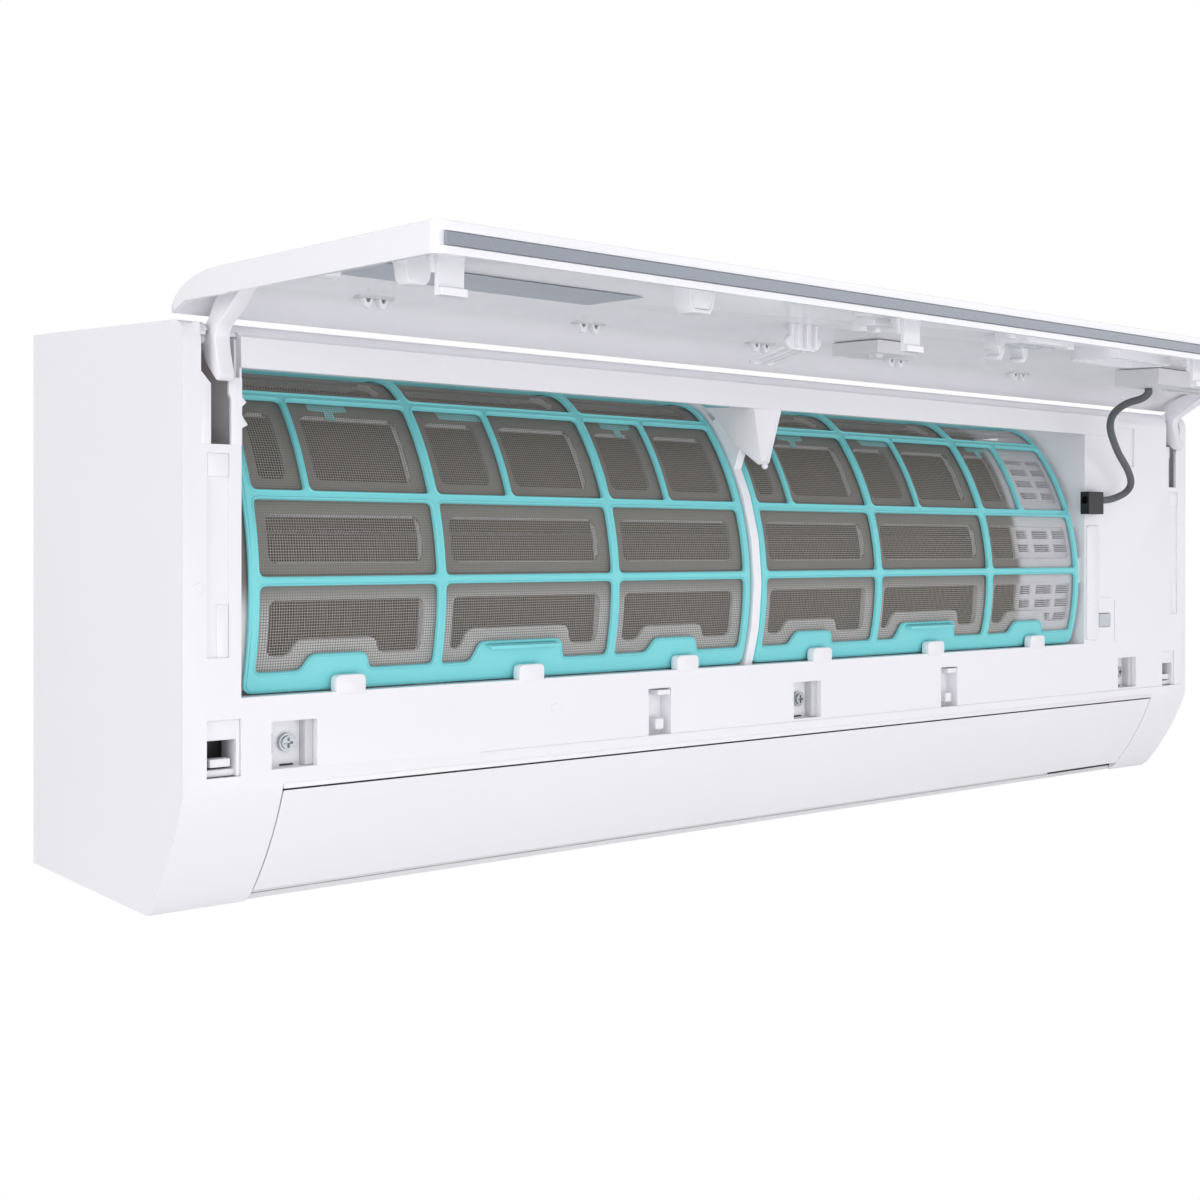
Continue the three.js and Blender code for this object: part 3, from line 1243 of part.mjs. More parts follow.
addPiece('control_box', controlBox(), STEEL);
addPiece('control_board', controlBoard(), BOARD);
addPiece('control_box_cover', boxCover(), WHITE);
addPiece('terminal_block', terminalBlock(), BLACK);
['left', 'middle', 'right'].forEach((side, i) => {
  addPiece(`casing_screw_${side}`, casingScrew(SCREW_X[i]), STEEL);
});
addPiece('manual_button', manualButton(), GREY);
addPiece('cable_clip', cableClip(), BLACK);
addPiece('display_cable', bentBar(CABLE_ROUTE, CABLE_R, 26, 8), CABLE);
addPiece('filter_frame_left', filterFrame(FILTER_LEFT_X), TEAL);
addPiece('filter_frame_right', filterFrame(FILTER_RIGHT_X), TEAL);
addPiece('filter_net_left', filterNet(FILTER_LEFT_X), NET);
addPiece('filter_net_right', filterNet(FILTER_RIGHT_X), NET);
addPiece('louver', louver(), WHITE);
addPiece('louver_motor', louverMotor(), GREY);
addPiece('vane_link_left', linkBar(0), GREY);
addPiece('vane_link_right', linkBar(1), GREY);
VANES.forEach((x, i) => {
  addPiece(`vane_${i + 1}`, vane().translate([x, 0, 0]), WHITE);
});
addPiece('front_panel', frontPanel(), WHITE, panelGroup);
addPiece('panel_trim_strip', trimStrip(), GREY, panelGroup);
addPiece('panel_arm_left', panelArm().translate([ARM_X[0], 0, 0]), WHITE, panelGroup);
addPiece('panel_arm_right', panelArm().translate([ARM_X[1], 0, 0]), WHITE, panelGroup);
addPiece('display_housing', displayHousing(), GREY, panelGroup);
addPiece('display_board', displayBoard(), BOARD, panelGroup);
addPiece('sensor_box', sensorBox(), GREY, panelGroup);
addPiece('blank_label', panelLabel(), WHITE, panelGroup);

export default unit;
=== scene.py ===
import json
import math

import bmesh
import bpy
from mathutils import Matrix, Vector


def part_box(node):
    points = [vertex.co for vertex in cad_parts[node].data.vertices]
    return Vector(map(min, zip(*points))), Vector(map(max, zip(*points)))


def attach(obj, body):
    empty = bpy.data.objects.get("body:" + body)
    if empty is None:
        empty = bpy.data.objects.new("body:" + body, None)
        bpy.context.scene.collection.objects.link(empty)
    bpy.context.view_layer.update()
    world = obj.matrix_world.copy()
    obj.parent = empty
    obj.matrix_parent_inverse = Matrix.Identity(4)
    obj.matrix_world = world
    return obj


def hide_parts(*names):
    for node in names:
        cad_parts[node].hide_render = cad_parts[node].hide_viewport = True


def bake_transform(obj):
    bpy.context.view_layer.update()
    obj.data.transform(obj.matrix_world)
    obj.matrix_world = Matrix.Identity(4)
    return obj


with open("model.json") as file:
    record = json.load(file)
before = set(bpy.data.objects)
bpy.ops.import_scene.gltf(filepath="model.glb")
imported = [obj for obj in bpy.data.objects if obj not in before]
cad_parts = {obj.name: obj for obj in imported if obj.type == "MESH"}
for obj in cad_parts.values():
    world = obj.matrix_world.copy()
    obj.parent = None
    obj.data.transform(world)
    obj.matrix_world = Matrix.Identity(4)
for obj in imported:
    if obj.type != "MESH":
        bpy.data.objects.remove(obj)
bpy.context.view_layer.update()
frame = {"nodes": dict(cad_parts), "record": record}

MM = 0.001


def mm(*values):
    """A point given in millimetres, in metres."""
    return Vector(values) * MM


# ---- sizes repeated from the solids, in millimetres -------------------------------------------
# The filters lie on an arc about (TRACK_Y, TRACK_Z), which goes over into a tighter bend and then
# runs level to the back.
TRACK_Y = -25.0
TRACK_Z = 10.5
TRACK_R = 149.5
BEND_ANGLE = 40.0
BEND_R = 40.0
RAIL_TOP = -36.5
GAP = 0.3
LOW_ANGLE = -math.degrees(math.asin((TRACK_Z - RAIL_TOP - GAP) / TRACK_R))
FILTER_BACK = -60.0
FRONT = -175.0              # front plane of the casing
HINGE_Y = -165.0
HINGE_Z = 126.0
PANEL_SKIN = -24.5          # inner face of the panel, from its hinge line, when shut
OPEN_ANGLE = 88.4
HINGE_SLOT_X = (-377.0, 417.0)
CHANNEL_X = (-378.0, 418.0)
LATCH_X = (-375.0, -110.0, 146.0, 411.0)
SCREW_X = (-339.0, 10.0, 355.0)
FILTER_SIDES = ("left", "right")
FILTER_LEFT = {side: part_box(f"filter_frame_{side}")[0][0] / MM for side in FILTER_SIDES}
GUARD_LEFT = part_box("coil_guard")[0][0]     # in metres, for the materials

# ---- camera -----------------------------------------------------------------------------------
CAMERA_PLACE = mm(-726.6, -850.5, 30.5)
CAMERA_TURN = 40.3          # degrees to the right of straight ahead
CAMERA_LENS = 49.56
HORIZON_SHIFT = -50 / 1200


def add_camera():
    data = bpy.data.cameras.new("camera")
    data.lens = CAMERA_LENS
    data.sensor_width = 36
    data.shift_y = HORIZON_SHIFT
    data.clip_end = 20
    camera = bpy.data.objects.new("camera", data)
    camera.location = CAMERA_PLACE
    camera.rotation_euler = (math.radians(90), 0, -math.radians(CAMERA_TURN))
    bpy.context.collection.objects.link(camera)
    bpy.context.scene.camera = camera


# ---- materials --------------------------------------------------------------------------------
GRAIN_SCALE = 900.0
GRAIN_DEPTH = 0.0004        # metres
ROUGH_DRIFT = 0.06
THREAD_SHARE = 0.3          # width of a thread of the net, as a share of the pitch


def grain_group():
    """Fine moulding grain and a faint cloudy mottle, from Object coordinates."""
    group = bpy.data.node_groups.new("moulding_grain", "ShaderNodeTree")
    scale = group.interface.new_socket("Mottle Scale", in_out="INPUT",
                                       socket_type="NodeSocketFloat")
    scale.default_value = 14.0
    for label in ("Height", "Mottle"):
        group.interface.new_socket(label, in_out="OUTPUT", socket_type="NodeSocketFloat")
    nodes, links = group.nodes, group.links
    entry = nodes.new("NodeGroupInput")
    leave = nodes.new("NodeGroupOutput")
    place = nodes.new("ShaderNodeTexCoord")
    fine = nodes.new("ShaderNodeTexNoise")
    fine.inputs["Scale"].default_value = GRAIN_SCALE
    fine.inputs["Detail"].default_value = 2
    cloud = nodes.new("ShaderNodeTexNoise")
    cloud.inputs["Detail"].default_value = 3
    links.new(entry.outputs["Mottle Scale"], cloud.inputs["Scale"])
    for noise, result in ((fine, "Height"), (cloud, "Mottle")):
        links.new(place.outputs["Object"], noise.inputs["Vector"])
        links.new(noise.outputs["Fac"], leave.inputs[result])
    return group


GRAIN = grain_group()


def srgb(r, g, b):
    """A colour read as 0 to 255 screen values, as the linear numbers a shader wants."""
    def linear(c):
        c /= 255
        return c / 12.92 if c <= 0.04045 else ((c + 0.055) / 1.055) ** 2.4
    return (linear(r), linear(g), linear(b), 1.0)


def new_material(name):
    material = bpy.data.materials.new(name)
    material.use_nodes = True
    return material, material.node_tree.nodes, material.node_tree.links


def color_mix(material, mask, start, end):
    """A colour that goes from start to end as the mask rises; start may be a node's output."""
    nodes, links = material.node_tree.nodes, material.node_tree.links
    mix = nodes.new("ShaderNodeMix")
    mix.data_type = "RGBA"
    links.new(mask, mix.inputs[0])
    if isinstance(start, bpy.types.NodeSocket):
        links.new(start, mix.inputs[6])
    else:
        mix.inputs[6].default_value = start
    mix.inputs[7].default_value = end
    return mix.outputs[2]


def math_of(material, operation, first, second=None):
    """The result of a sum on one mask, or on a mask and a second mask or number."""
    nodes, links = material.node_tree.nodes, material.node_tree.links
    node = nodes.new("ShaderNodeMath")
    node.operation = operation
    node.use_clamp = operation == "SUBTRACT"
    links.new(first, node.inputs[0])
    if isinstance(second, bpy.types.NodeSocket):
        links.new(second, node.inputs[1])
    elif second is not None:
        node.inputs[1].default_value = second
    return node.outputs[0]


def change_along(material, axis, low, high):
    """A mask that rises from 0 to 1 between two places along an axis, in metres."""
    nodes, links = material.node_tree.nodes, material.node_tree.links
    place = nodes.new("ShaderNodeTexCoord")
    split = nodes.new("ShaderNodeSeparateXYZ")
    rise = nodes.new("ShaderNodeMapRange")
    rise.interpolation_type = "SMOOTHSTEP"
    rise.inputs["From Min"].default_value = low
    rise.inputs["From Max"].default_value = high
    links.new(place.outputs["Object"], split.inputs["Vector"])
    links.new(split.outputs[axis], rise.inputs["Value"])
    return rise.outputs["Result"]


def finish_of(name, color, rough, metal=0.0, coat=0.0, vary=0.04, bump=0.05, mottle=14.0):
    """A material whose colour and roughness drift a little and whose surface has a fine grain."""
    material, nodes, links = new_material(name)
    shader = nodes["Principled BSDF"]
    shader.inputs["Metallic"].default_value = metal
    shader.inputs["Coat Weight"].default_value = coat
    surface = nodes.new("ShaderNodeGroup")
    surface.node_tree = GRAIN
    surface.inputs["Mottle Scale"].default_value = mottle
    dark = [c * (1 - vary) for c in color[:3]] + [1.0]
    light = [min(1.0, c * (1 + vary * 0.5)) for c in color[:3]] + [1.0]
    tint = color_mix(material, surface.outputs["Mottle"], dark, light)
    links.new(tint, shader.inputs["Base Color"])
    span = nodes.new("ShaderNodeMapRange")
    span.inputs["To Min"].default_value = max(0.02, rough - ROUGH_DRIFT)
    span.inputs["To Max"].default_value = min(1.0, rough + ROUGH_DRIFT)
    links.new(surface.outputs["Mottle"], span.inputs["Value"])
    links.new(span.outputs["Result"], shader.inputs["Roughness"])
    relief = nodes.new("ShaderNodeBump")
    relief.inputs["Strength"].default_value = bump
    relief.inputs["Distance"].default_value = GRAIN_DEPTH
    links.new(surface.outputs["Height"], relief.inputs["Height"])
    links.new(relief.outputs["Normal"], shader.inputs["Normal"])
    return material


def grid_finish():
    """White grid, darker towards the top in the shadow of the open panel, but not by the guard."""
    material = finish_of("grid_white", srgb(226, 226, 228), 0.5)
    base = material.node_tree.nodes["Principled BSDF"].inputs["Base Color"]
    upper = change_along(material, "Z", -0.002, 0.018)
    guarded = change_along(material, "X", GUARD_LEFT - 0.004, GUARD_LEFT + 0.002)
    shade = math_of(material, "SUBTRACT", upper, guarded)
    white = base.links[0].from_socket
    color = color_mix(material, shade, white, srgb(128, 125, 121))
    material.node_tree.links.new(color, base)
    return material


def net_finish():
    """Woven net: threads with open squares between them, laid out by the piece's own UV map.

    The threads are grey, and look pale in front of the white guard, which shines through them.
    """
    material, nodes, links = new_material("woven_net")
    shader = nodes["Principled BSDF"]
    shader.inputs["Roughness"].default_value = 0.6
    guarded = change_along(material, "X", GUARD_LEFT - 0.006, GUARD_LEFT + 0.004)
    color = color_mix(material, guarded, srgb(146, 142, 135), srgb(204, 204, 208))
    links.new(color, shader.inputs["Base Color"])
    place = nodes.new("ShaderNodeUVMap")
    place.uv_map = "weave"
    split = nodes.new("ShaderNodeSeparateXYZ")
    links.new(place.outputs["UV"], split.inputs["Vector"])
    threads = [math_of(material, "LESS_THAN",
                       math_of(material, "FRACT", split.outputs[axis]), THREAD_SHARE)
               for axis in ("X", "Y")]
    links.new(math_of(material, "MAXIMUM", *threads), shader.inputs["Alpha"])
    return material


CASING_WHITE = finish_of("casing_white", srgb(239, 238, 242), 0.36, bump=0.04, vary=0.015)
PANEL_WHITE = finish_of("panel_white", srgb(240, 240, 244), 0.2, coat=0.25, bump=0.015, vary=0.01)
CHASSIS_WHITE = finish_of("chassis_white", srgb(222, 222, 224), 0.5, bump=0.08, vary=0.03)
GRID_WHITE = grid_finish()
TEAL = finish_of("filter_teal", srgb(126, 215, 219), 0.42, vary=0.03)
NET = net_finish()
TRIM_GREY = finish_of("trim_grey", srgb(150, 156, 166), 0.28, metal=0.2, bump=0.02, vary=0.02)
PAD_GREY = finish_of("pad_grey", srgb(206, 208, 210), 0.5)
GREY = finish_of("part_grey", srgb(196, 200, 206), 0.45, bump=0.06, vary=0.03)
SLOT_SHADOW_BROWN = finish_of("slot_shadow_brown", srgb(232, 210, 202), 0.6, vary=0.06)
LABEL = finish_of("blank_label", srgb(172, 178, 188), 0.35, bump=0.02, mottle=30.0)
BLACK = finish_of("black_plastic", srgb(28, 29, 31), 0.42, bump=0.08, vary=0.1)
RUBBER = finish_of("soft_rubber", srgb(40, 41, 43), 0.75, bump=0.15, vary=0.1)
CABLE_GREY = finish_of("cable_jacket", srgb(92, 95, 99), 0.5, bump=0.08, vary=0.05)
STEEL = finish_of("screw_steel", srgb(170, 174, 178), 0.26, metal=1.0, bump=0.04, vary=0.08)
ZINC = finish_of("zinc_sheet", srgb(176, 179, 182), 0.42, metal=0.9, bump=0.06, vary=0.14,
                 mottle=60.0)
COPPER = finish_of("drawn_copper", srgb(196, 124, 84), 0.3, metal=1.0, bump=0.04, vary=0.14,
                   mottle=40.0)
BRASS = finish_of("turned_brass", srgb(204, 172, 98), 0.3, metal=1.0, bump=0.04, vary=0.08)
FIN = finish_of("fin_aluminium", srgb(122, 106, 74), 0.5, metal=0.5, bump=0.06, vary=0.3,
                mottle=40.0)
FAN_DARK = finish_of("fan_plastic", srgb(58, 60, 63), 0.5, bump=0.1, vary=0.08)
BOARD = finish_of("circuit_board", srgb(34, 98, 62), 0.38, vary=0.12, mottle=80.0)


# ---- making pieces ----------------------------------------------------------------------------
def add_object(name, bm, material):
    """An object at the origin from a mesh under construction, which it frees."""
    mesh = bpy.data.meshes.new(name)
    # Closed shells face outwards already, and the operator turns some of them inside out.
    if not all(edge.is_contiguous for edge in bm.edges):
        bm.normal_update()
        bmesh.ops.recalc_face_normals(bm, faces=bm.faces)
    bm.to_mesh(mesh)
    bm.free()
    mesh.materials.append(material)
    piece = bpy.data.objects.new(name, mesh)
    bpy.context.collection.objects.link(piece)
    return piece


def new_piece(name, bm, material, body, smooth=35.0):
    """A piece that rides on a body, shaded smooth up to the angle in degrees."""
    piece = add_object(name, bm, material)
    if smooth:
        piece.data.shade_smooth()
        piece.data.set_sharp_from_angle(angle=math.radians(smooth))
    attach(piece, body)
    return piece


def merged(node):
    """The mesh of a solid with its doubled corners joined and its flat faces merged."""
    bm = bmesh.new()
    bm.from_mesh(frame["nodes"][node].data)
    bmesh.ops.remove_doubles(bm, verts=bm.verts, dist=2e-6)
    bmesh.ops.dissolve_limit(bm, angle_limit=math.radians(1), verts=bm.verts, edges=bm.edges)
    return bm


def softened(node, material, body, width):
    """A copy of a solid with its edges rounded by the width in millimetres."""
    piece = new_piece(node + "_made", merged(node), material, body)
    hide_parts(node)
    if width:
        bevel = piece.modifiers.new("soft_edges", "BEVEL")
        bevel.width = width * MM
        bevel.segments = 2
        bevel.limit_method = "ANGLE"
        bevel.angle_limit = math.radians(30)
        bevel.harden_normals = True


def round_edges(bm, edges, offset, segments=2):
    bmesh.ops.bevel(bm, geom=edges, offset=offset, segments=segments, profile=0.5,
                    affect="EDGES", material=-1)


def closed_edges(bm, verts):
    """Edges that join the verts into a closed loop."""
    return [bm.edges.new((verts[i - 1], verts[i])) for i in range(len(verts))]


def bridged(bm, first, last):
    """Faces between two closed loops with as many verts each."""
    return [bm.faces.new((first[i - 1], first[i], last[i], last[i - 1]))
            for i in range(len(first))]


def filled(bm, edges):
    """Flat faces inside the outermost loop of edges and around the others."""
    bmesh.ops.triangle_fill(bm, edges=edges, use_beauty=True, use_dissolve=False)


def filleted(corners, radius, steps=4):
    """A closed outline with each of its corners rounded."""
    points = []
    count = len(corners)
    for i, corner in enumerate(corners):
        here = Vector(corner)
        before = Vector(corners[i - 1]) - here
        after = Vector(corners[(i + 1) % count]) - here
        reach = min(radius, before.length * 0.45, after.length * 0.45)
        start = here + before.normalized() * reach
        end = here + after.normalized() * reach
        for s in range(steps + 1):
            t = s / steps
            points.append(start * (1 - t) ** 2 + here * 2 * t * (1 - t) + end * t ** 2)
    return points


def grown(points, distance):
    """The outline moved outwards, for an outline that runs anticlockwise."""
    result = []
    count = len(points)
    for i, point in enumerate(points):
        ahead = (points[(i + 1) % count] - points[i - 1]).normalized()
        result.append(point + Vector((ahead.y, -ahead.x)) * distance)
    return result


def rectangle(left, right, low, high):
    return [(left, low), (right, low), (right, high), (left, high)]


def circle(x, y, radius, sides):
    angles = [math.tau * i / sides for i in range(sides)]
    return [(x + radius * math.cos(angle), y + radius * math.sin(angle)) for angle in angles]


def extruded(bm, outline, low, high, axis, bevel=0.0, segments=2):
    """A solid whose outline lies across the axis and which runs along it from low to high."""
    def spot(point, level):
        u, v = point
        return {"x": (level, u, v), "y": (u, level, v), "z": (u, v, level)}[axis]

    first = [bm.verts.new(spot(p, low)) for p in outline]
    last = [bm.verts.new(spot(p, high)) for p in outline]
    faces = [bm.faces.new(first), bm.faces.new(last), *bridged(bm, first, last)]
    bmesh.ops.recalc_face_normals(bm, faces=faces)
    if bevel:
        round_edges(bm, list({e for f in faces for e in f.edges}), bevel, segments)


def brick(bm, x, y, z, bevel=0.3):
    extruded(bm, rectangle(*x, *y), *z, "z", bevel)


def disc(bm, x, z, radius, y0, y1):
    extruded(bm, circle(x, z, radius, 24), y0, y1, "y", 0.12, 1)


def shifted(outline, distance):
    """The outline moved along its first direction."""
    return [(u + distance, v) for u, v in outline]


# ---- the curved track -------------------------------------------------------------------------
ARC_LENGTH = TRACK_R * math.radians(BEND_ANGLE - LOW_ANGLE)
BEND_LENGTH = BEND_R * math.radians(90 - BEND_ANGLE)
BEND_Y = TRACK_Y - (TRACK_R - BEND_R) * math.cos(math.radians(BEND_ANGLE))
BEND_Z = TRACK_Z + (TRACK_R - BEND_R) * math.sin(math.radians(BEND_ANGLE))
TRACK_LENGTH = ARC_LENGTH + BEND_LENGTH + FILTER_BACK - BEND_Y
STRIP = 5.0                 # width of the strips that a piece is cut into before it is bent


def on_track(x, along, out):
    """The point `along` millimetres up the track and `out` in front of the filters' face."""
    if along <= ARC_LENGTH:
        angle = math.radians(LOW_ANGLE) + along / TRACK_R
        r = TRACK_R + out
        return mm(x, TRACK_Y - r * math.cos(angle), TRACK_Z + r * math.sin(angle))
    if along <= ARC_LENGTH + BEND_LENGTH:
        angle = math.radians(BEND_ANGLE) + (along - ARC_LENGTH) / BEND_R
        r = BEND_R + out
        return mm(x, BEND_Y - r * math.cos(angle), BEND_Z + r * math.sin(angle))
    return mm(x, BEND_Y + along - ARC_LENGTH - BEND_LENGTH, BEND_Z + BEND_R + out)


def height_to_track(z):
    return TRACK_R * (math.asin((z - TRACK_Z) / TRACK_R) - math.radians(LOW_ANGLE))


def cut_in_strips(bm, end):
    cut = STRIP
    while cut < end:
        bmesh.ops.bisect_plane(bm, geom=bm.verts[:] + bm.edges[:] + bm.faces[:], dist=1e-4,
                               plane_co=(0, cut, 0), plane_no=(0, 1, 0))
        cut += STRIP


def bend_to_track(bm, left=0.0):
    """Lays a flat piece, drawn from its left edge as x, along and out, on the track."""
    for vert in bm.verts:
        vert.co.x += left
    cut_in_strips(bm, TRACK_LENGTH)
    for vert in bm.verts:
        vert.co = on_track(*vert.co)


# ---- air filters ------------------------------------------------------------------------------
RIB = 4.5
THIN_RIB = 2.7
SIDE_RIB = 5.0
BAND = 10.3                 # height of the solid band at the foot
FILTER_WIDTH = 324.0
MAIN_RIBS = (104.0, 218.0)
THIN_RIBS = (33.0, 153.0, 264.0)
ROW_HEIGHTS = (16.0, 56.5, 105.0)
# For each opening of the lowest row: where the band rises into it, and how far.
BUMPS = {0: (32.0, 65.0, 8.0), 1: (130.0, 185.0, 10.5), 2: (250.0, 283.0, 8.0)}
BEAD_WIDTH = 1.35
BEAD_HEIGHT = 0.75
NET_PITCH = 1.35
NET_OUT = -2.6              # the net, from the frame's face
BORDER = 6.5
BORDER_FACE = -3.4
BORDER_BACK = -5.2


def filter_cells():
    """The openings of one filter: outlines in x and track length, from its lower left corner."""
    rows = [BAND, *map(height_to_track, ROW_HEIGHTS), TRACK_LENGTH - 38, TRACK_LENGTH - 4]
    cells = []
    for row in range(len(rows) - 1):
        low = rows[row] + (0 if row == 0 else RIB / 2)
        high = rows[row + 1] - RIB / 2
        marks = [(SIDE_RIB, 0.0), *((x + RIB / 2, RIB / 2) for x in MAIN_RIBS),
                 (FILTER_WIDTH - SIDE_RIB, 0.0)]
        if row == 2:
            marks += [(x + THIN_RIB / 2, THIN_RIB / 2) for x in THIN_RIBS]
            marks.sort()
        for column, (before, after) in enumerate(zip(marks, marks[1:])):
            outline = rectangle(before[0] + before[1], after[0] - after[1], low, high)
            if row == 0 and column in BUMPS:
                start, end, rise = BUMPS[column]
                outline[1:1] = [(start - 3, low), (start + 2, low + rise),
                                (end - 1, low + rise), (end + 1.5, low)]
            cells.append(outline)
    return cells


def stepped_out(bm, verts, edges, target, out):
    """Pulls a closed loop of edges on to a new loop, and returns its verts and edges."""
    def place(vert):
        return tuple(round(c, 4) for c in vert.co)

    made = bmesh.ops.extrude_edge_only(bm, edges=edges)["geom"]
    fresh = {place(v): v for v in made if isinstance(v, bmesh.types.BMVert)}
    ordered = [fresh[place(v)] for v in verts]
    for vert, point in zip(ordered, target):
        vert.co = (point.x, point.y, out)
    new_verts = set(ordered)
    ring = [e for e in made if isinstance(e, bmesh.types.BMEdge) and new_verts.issuperset(e.verts)]
    return ordered, ring


def filter_frame(side):
    """Curved frame: a plate with rounded openings, each inside its own raised bead."""
    bm = bmesh.new()

    def draw(points):
        verts = [bm.verts.new((p.x, p.y, 0)) for p in points]
        return verts, closed_edges(bm, verts)

    rim = filleted(rectangle(1.5, FILTER_WIDTH - 1.5, 1.5, TRACK_LENGTH - 1.5), 4)
    rim_verts, rim_edges = draw(rim)
    edges = list(rim_edges)
    loops = []
    for outline in filter_cells():
        opening = filleted(outline, 3.2)
        verts, cell_edges = draw(grown(opening, BEAD_WIDTH))
        edges += cell_edges
        loops.append((opening, verts, cell_edges))
    filled(bm, edges)
    for opening, verts, cell_edges in loops:
        for share, out in ((0.8, 0.65), (0.5, 1.0), (0.2, 0.65), (0, 0), (0, -1.9 / BEAD_HEIGHT)):
            verts, cell_edges = stepped_out(bm, verts, cell_edges,
                                            grown(opening, BEAD_WIDTH * share), out * BEAD_HEIGHT)
    for distance, out in ((0.3, -0.5), (1.2, -0.5), (1.5, -0.9), (1.5, -1.9)):
        rim_verts, rim_edges = stepped_out(bm, rim_verts, rim_edges, grown(rim, distance), out)
    add_handle(bm)
    for column in (0, 2):
        start, end, _ = BUMPS[column]
        for shift in (-5, 5):
            centre = Matrix.Translation(((start + end) / 2 + shift, BAND + 2.5, 0.02))
            bmesh.ops.create_circle(bm, cap_ends=True, segments=20, radius=2.4, matrix=centre)
    bend_to_track(bm, FILTER_LEFT[side])
    piece = new_piece(f"filter_frame_{side}_made", bm, TEAL, f"filter_{side}", 40)
    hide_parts(f"filter_frame_{side}")


def add_handle(bm):
    """Ledge on the middle bump, by which the filter is lifted."""
    start, end, rise = BUMPS[1]
    place = Matrix.Translation(((start + end) / 2, BAND + rise - 2.2, 2.2))
    size = Matrix.Diagonal((end - start - 10, 1.8, 5.4, 1))
    verts = bmesh.ops.create_cube(bm, size=1, matrix=place @ size)["verts"]
    round_edges(bm, list({e for v in verts for e in v.link_edges}), 0.5)


def filter_net(side):
    """One sheet whose UV map counts the threads each way."""
    bm = bmesh.new()
    weave = bm.loops.layers.uv.new("weave")
    left = FILTER_LEFT[side]
    sheet = rectangle(left + 2, left + FILTER_WIDTH - 2, 1.5, TRACK_LENGTH - 2)
    bm.faces.new([bm.verts.new((x, along, NET_OUT)) for x, along in sheet])
    cut_in_strips(bm, TRACK_LENGTH - 3)
    for face in bm.faces:
        for loop in face.loops:
            loop[weave].uv = (loop.vert.co.x / NET_PITCH, loop.vert.co.y / NET_PITCH)
    for vert in bm.verts:
        vert.co = on_track(*vert.co)
    piece = new_piece(f"filter_net_{side}_made", bm, NET, f"filter_{side}", 60)
    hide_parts(f"filter_net_{side}")


def filter_tabs(side):
    """Moulded stiffening tabs behind the net, under the topmost rib of the arc."""
    bm = bmesh.new()
    top = height_to_track(ROW_HEIGHTS[2]) - RIB / 2 + 1
    tee = [(-11, top), (-11, top - 4), (-2.5, top - 5), (-2.5, top - 10), (2.5, top - 10),
           (2.5, top - 5), (11, top - 4), (11, top)]
    bar = [(-17, top), (-15, top - 5), (15, top - 5), (17, top)]
    for place, outline in ((60, tee), (142, bar), (248, tee)):
        extruded(bm, shifted(outline, FILTER_LEFT[side] + place), -3.3, -2.7, "z", 0.1)
    bend_to_track(bm)
    new_piece(f"filter_tabs_{side}", bm, TEAL, f"filter_{side}")


def border_windows(side):
    """Openings of the casing's grid, each a rounded window inside an opening of the filter."""
    for outline in filter_cells():
        (left, low), (right, high) = outline[0], outline[-2]
        if low > TRACK_LENGTH - 45:
            continue
        edge = 1.0 if side == "right" and right > FILTER_WIDTH - 8 else BORDER
        window = rectangle(left + BORDER, right - edge, low + BORDER, high - BORDER)
        if len(outline) > 4:
            start, top = outline[2]
            end = outline[3][0]
            window[1:1] = [(start - BORDER - 4, low + BORDER), (start - BORDER, top + BORDER),
                           (end + BORDER, top + BORDER), (end + BORDER + 2, low + BORDER)]
        yield filleted(window, 5)


def grid_border(side):
    """Rim of the casing's grid that shows through the net around each window."""
    bm = bmesh.new()

    def face_loop(points):
        return [bm.verts.new((x, along, BORDER_FACE)) for x, along in points]

    rim = face_loop(rectangle(-3, FILTER_WIDTH + 3, 1, TRACK_LENGTH - 46))
    edges = closed_edges(bm, rim)
    windows = []
    for points in border_windows(side):
        windows.append(face_loop(points))
        edges += closed_edges(bm, windows[-1])
    filled(bm, edges)
    for verts in windows:
        bridged(bm, verts, [bm.verts.new((v.co.x, v.co.y, BORDER_BACK)) for v in verts])
    bend_to_track(bm, FILTER_LEFT[side])
    new_piece(f"grid_border_{side}", bm, GRID_WHITE, "chassis")


def add_filters():
    for side in FILTER_SIDES:
        filter_frame(side)
        filter_net(side)
        filter_tabs(side)
        grid_border(side)


# ---- fin packs --------------------------------------------------------------------------------
FIN_PITCH = 1.7
FIN_THICK = 0.3


def fin_pack(node):
    """Thin upright fins, each with the four corners of the solid's end."""
    bm = merged(node)
    face = min((f for f in bm.faces if f.normal.x < -0.9), key=lambda f: -f.calc_area())
    rim = [v.co.copy() for v in face.verts]
    bm.free()
    centre = sum(rim, Vector()) / len(rim)
    corners = sorted(rim, key=lambda v: -(v - centre).length)[:4]
    corners.sort(key=lambda v: math.atan2(v.z - centre.z, v.y - centre.y))
    bm = bmesh.new()
    plate = bm.faces.new([bm.verts.new(v) for v in corners])
    for item in bmesh.ops.extrude_face_region(bm, geom=[plate])["geom"]:
        if isinstance(item, bmesh.types.BMVert):
            item.co.x += FIN_THICK * MM
    piece = new_piece(node + "_fins", bm, FIN, "chassis", 0)
    left, right = (corner[0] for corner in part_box(node))
    rows = piece.modifiers.new("fins", "ARRAY")
    rows.use_relative_offset = False
    rows.use_constant_offset = True
    rows.constant_offset_displace = (FIN_PITCH * MM, 0, 0)
    rows.count = int((right - left) / (FIN_PITCH * MM))
    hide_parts(node)


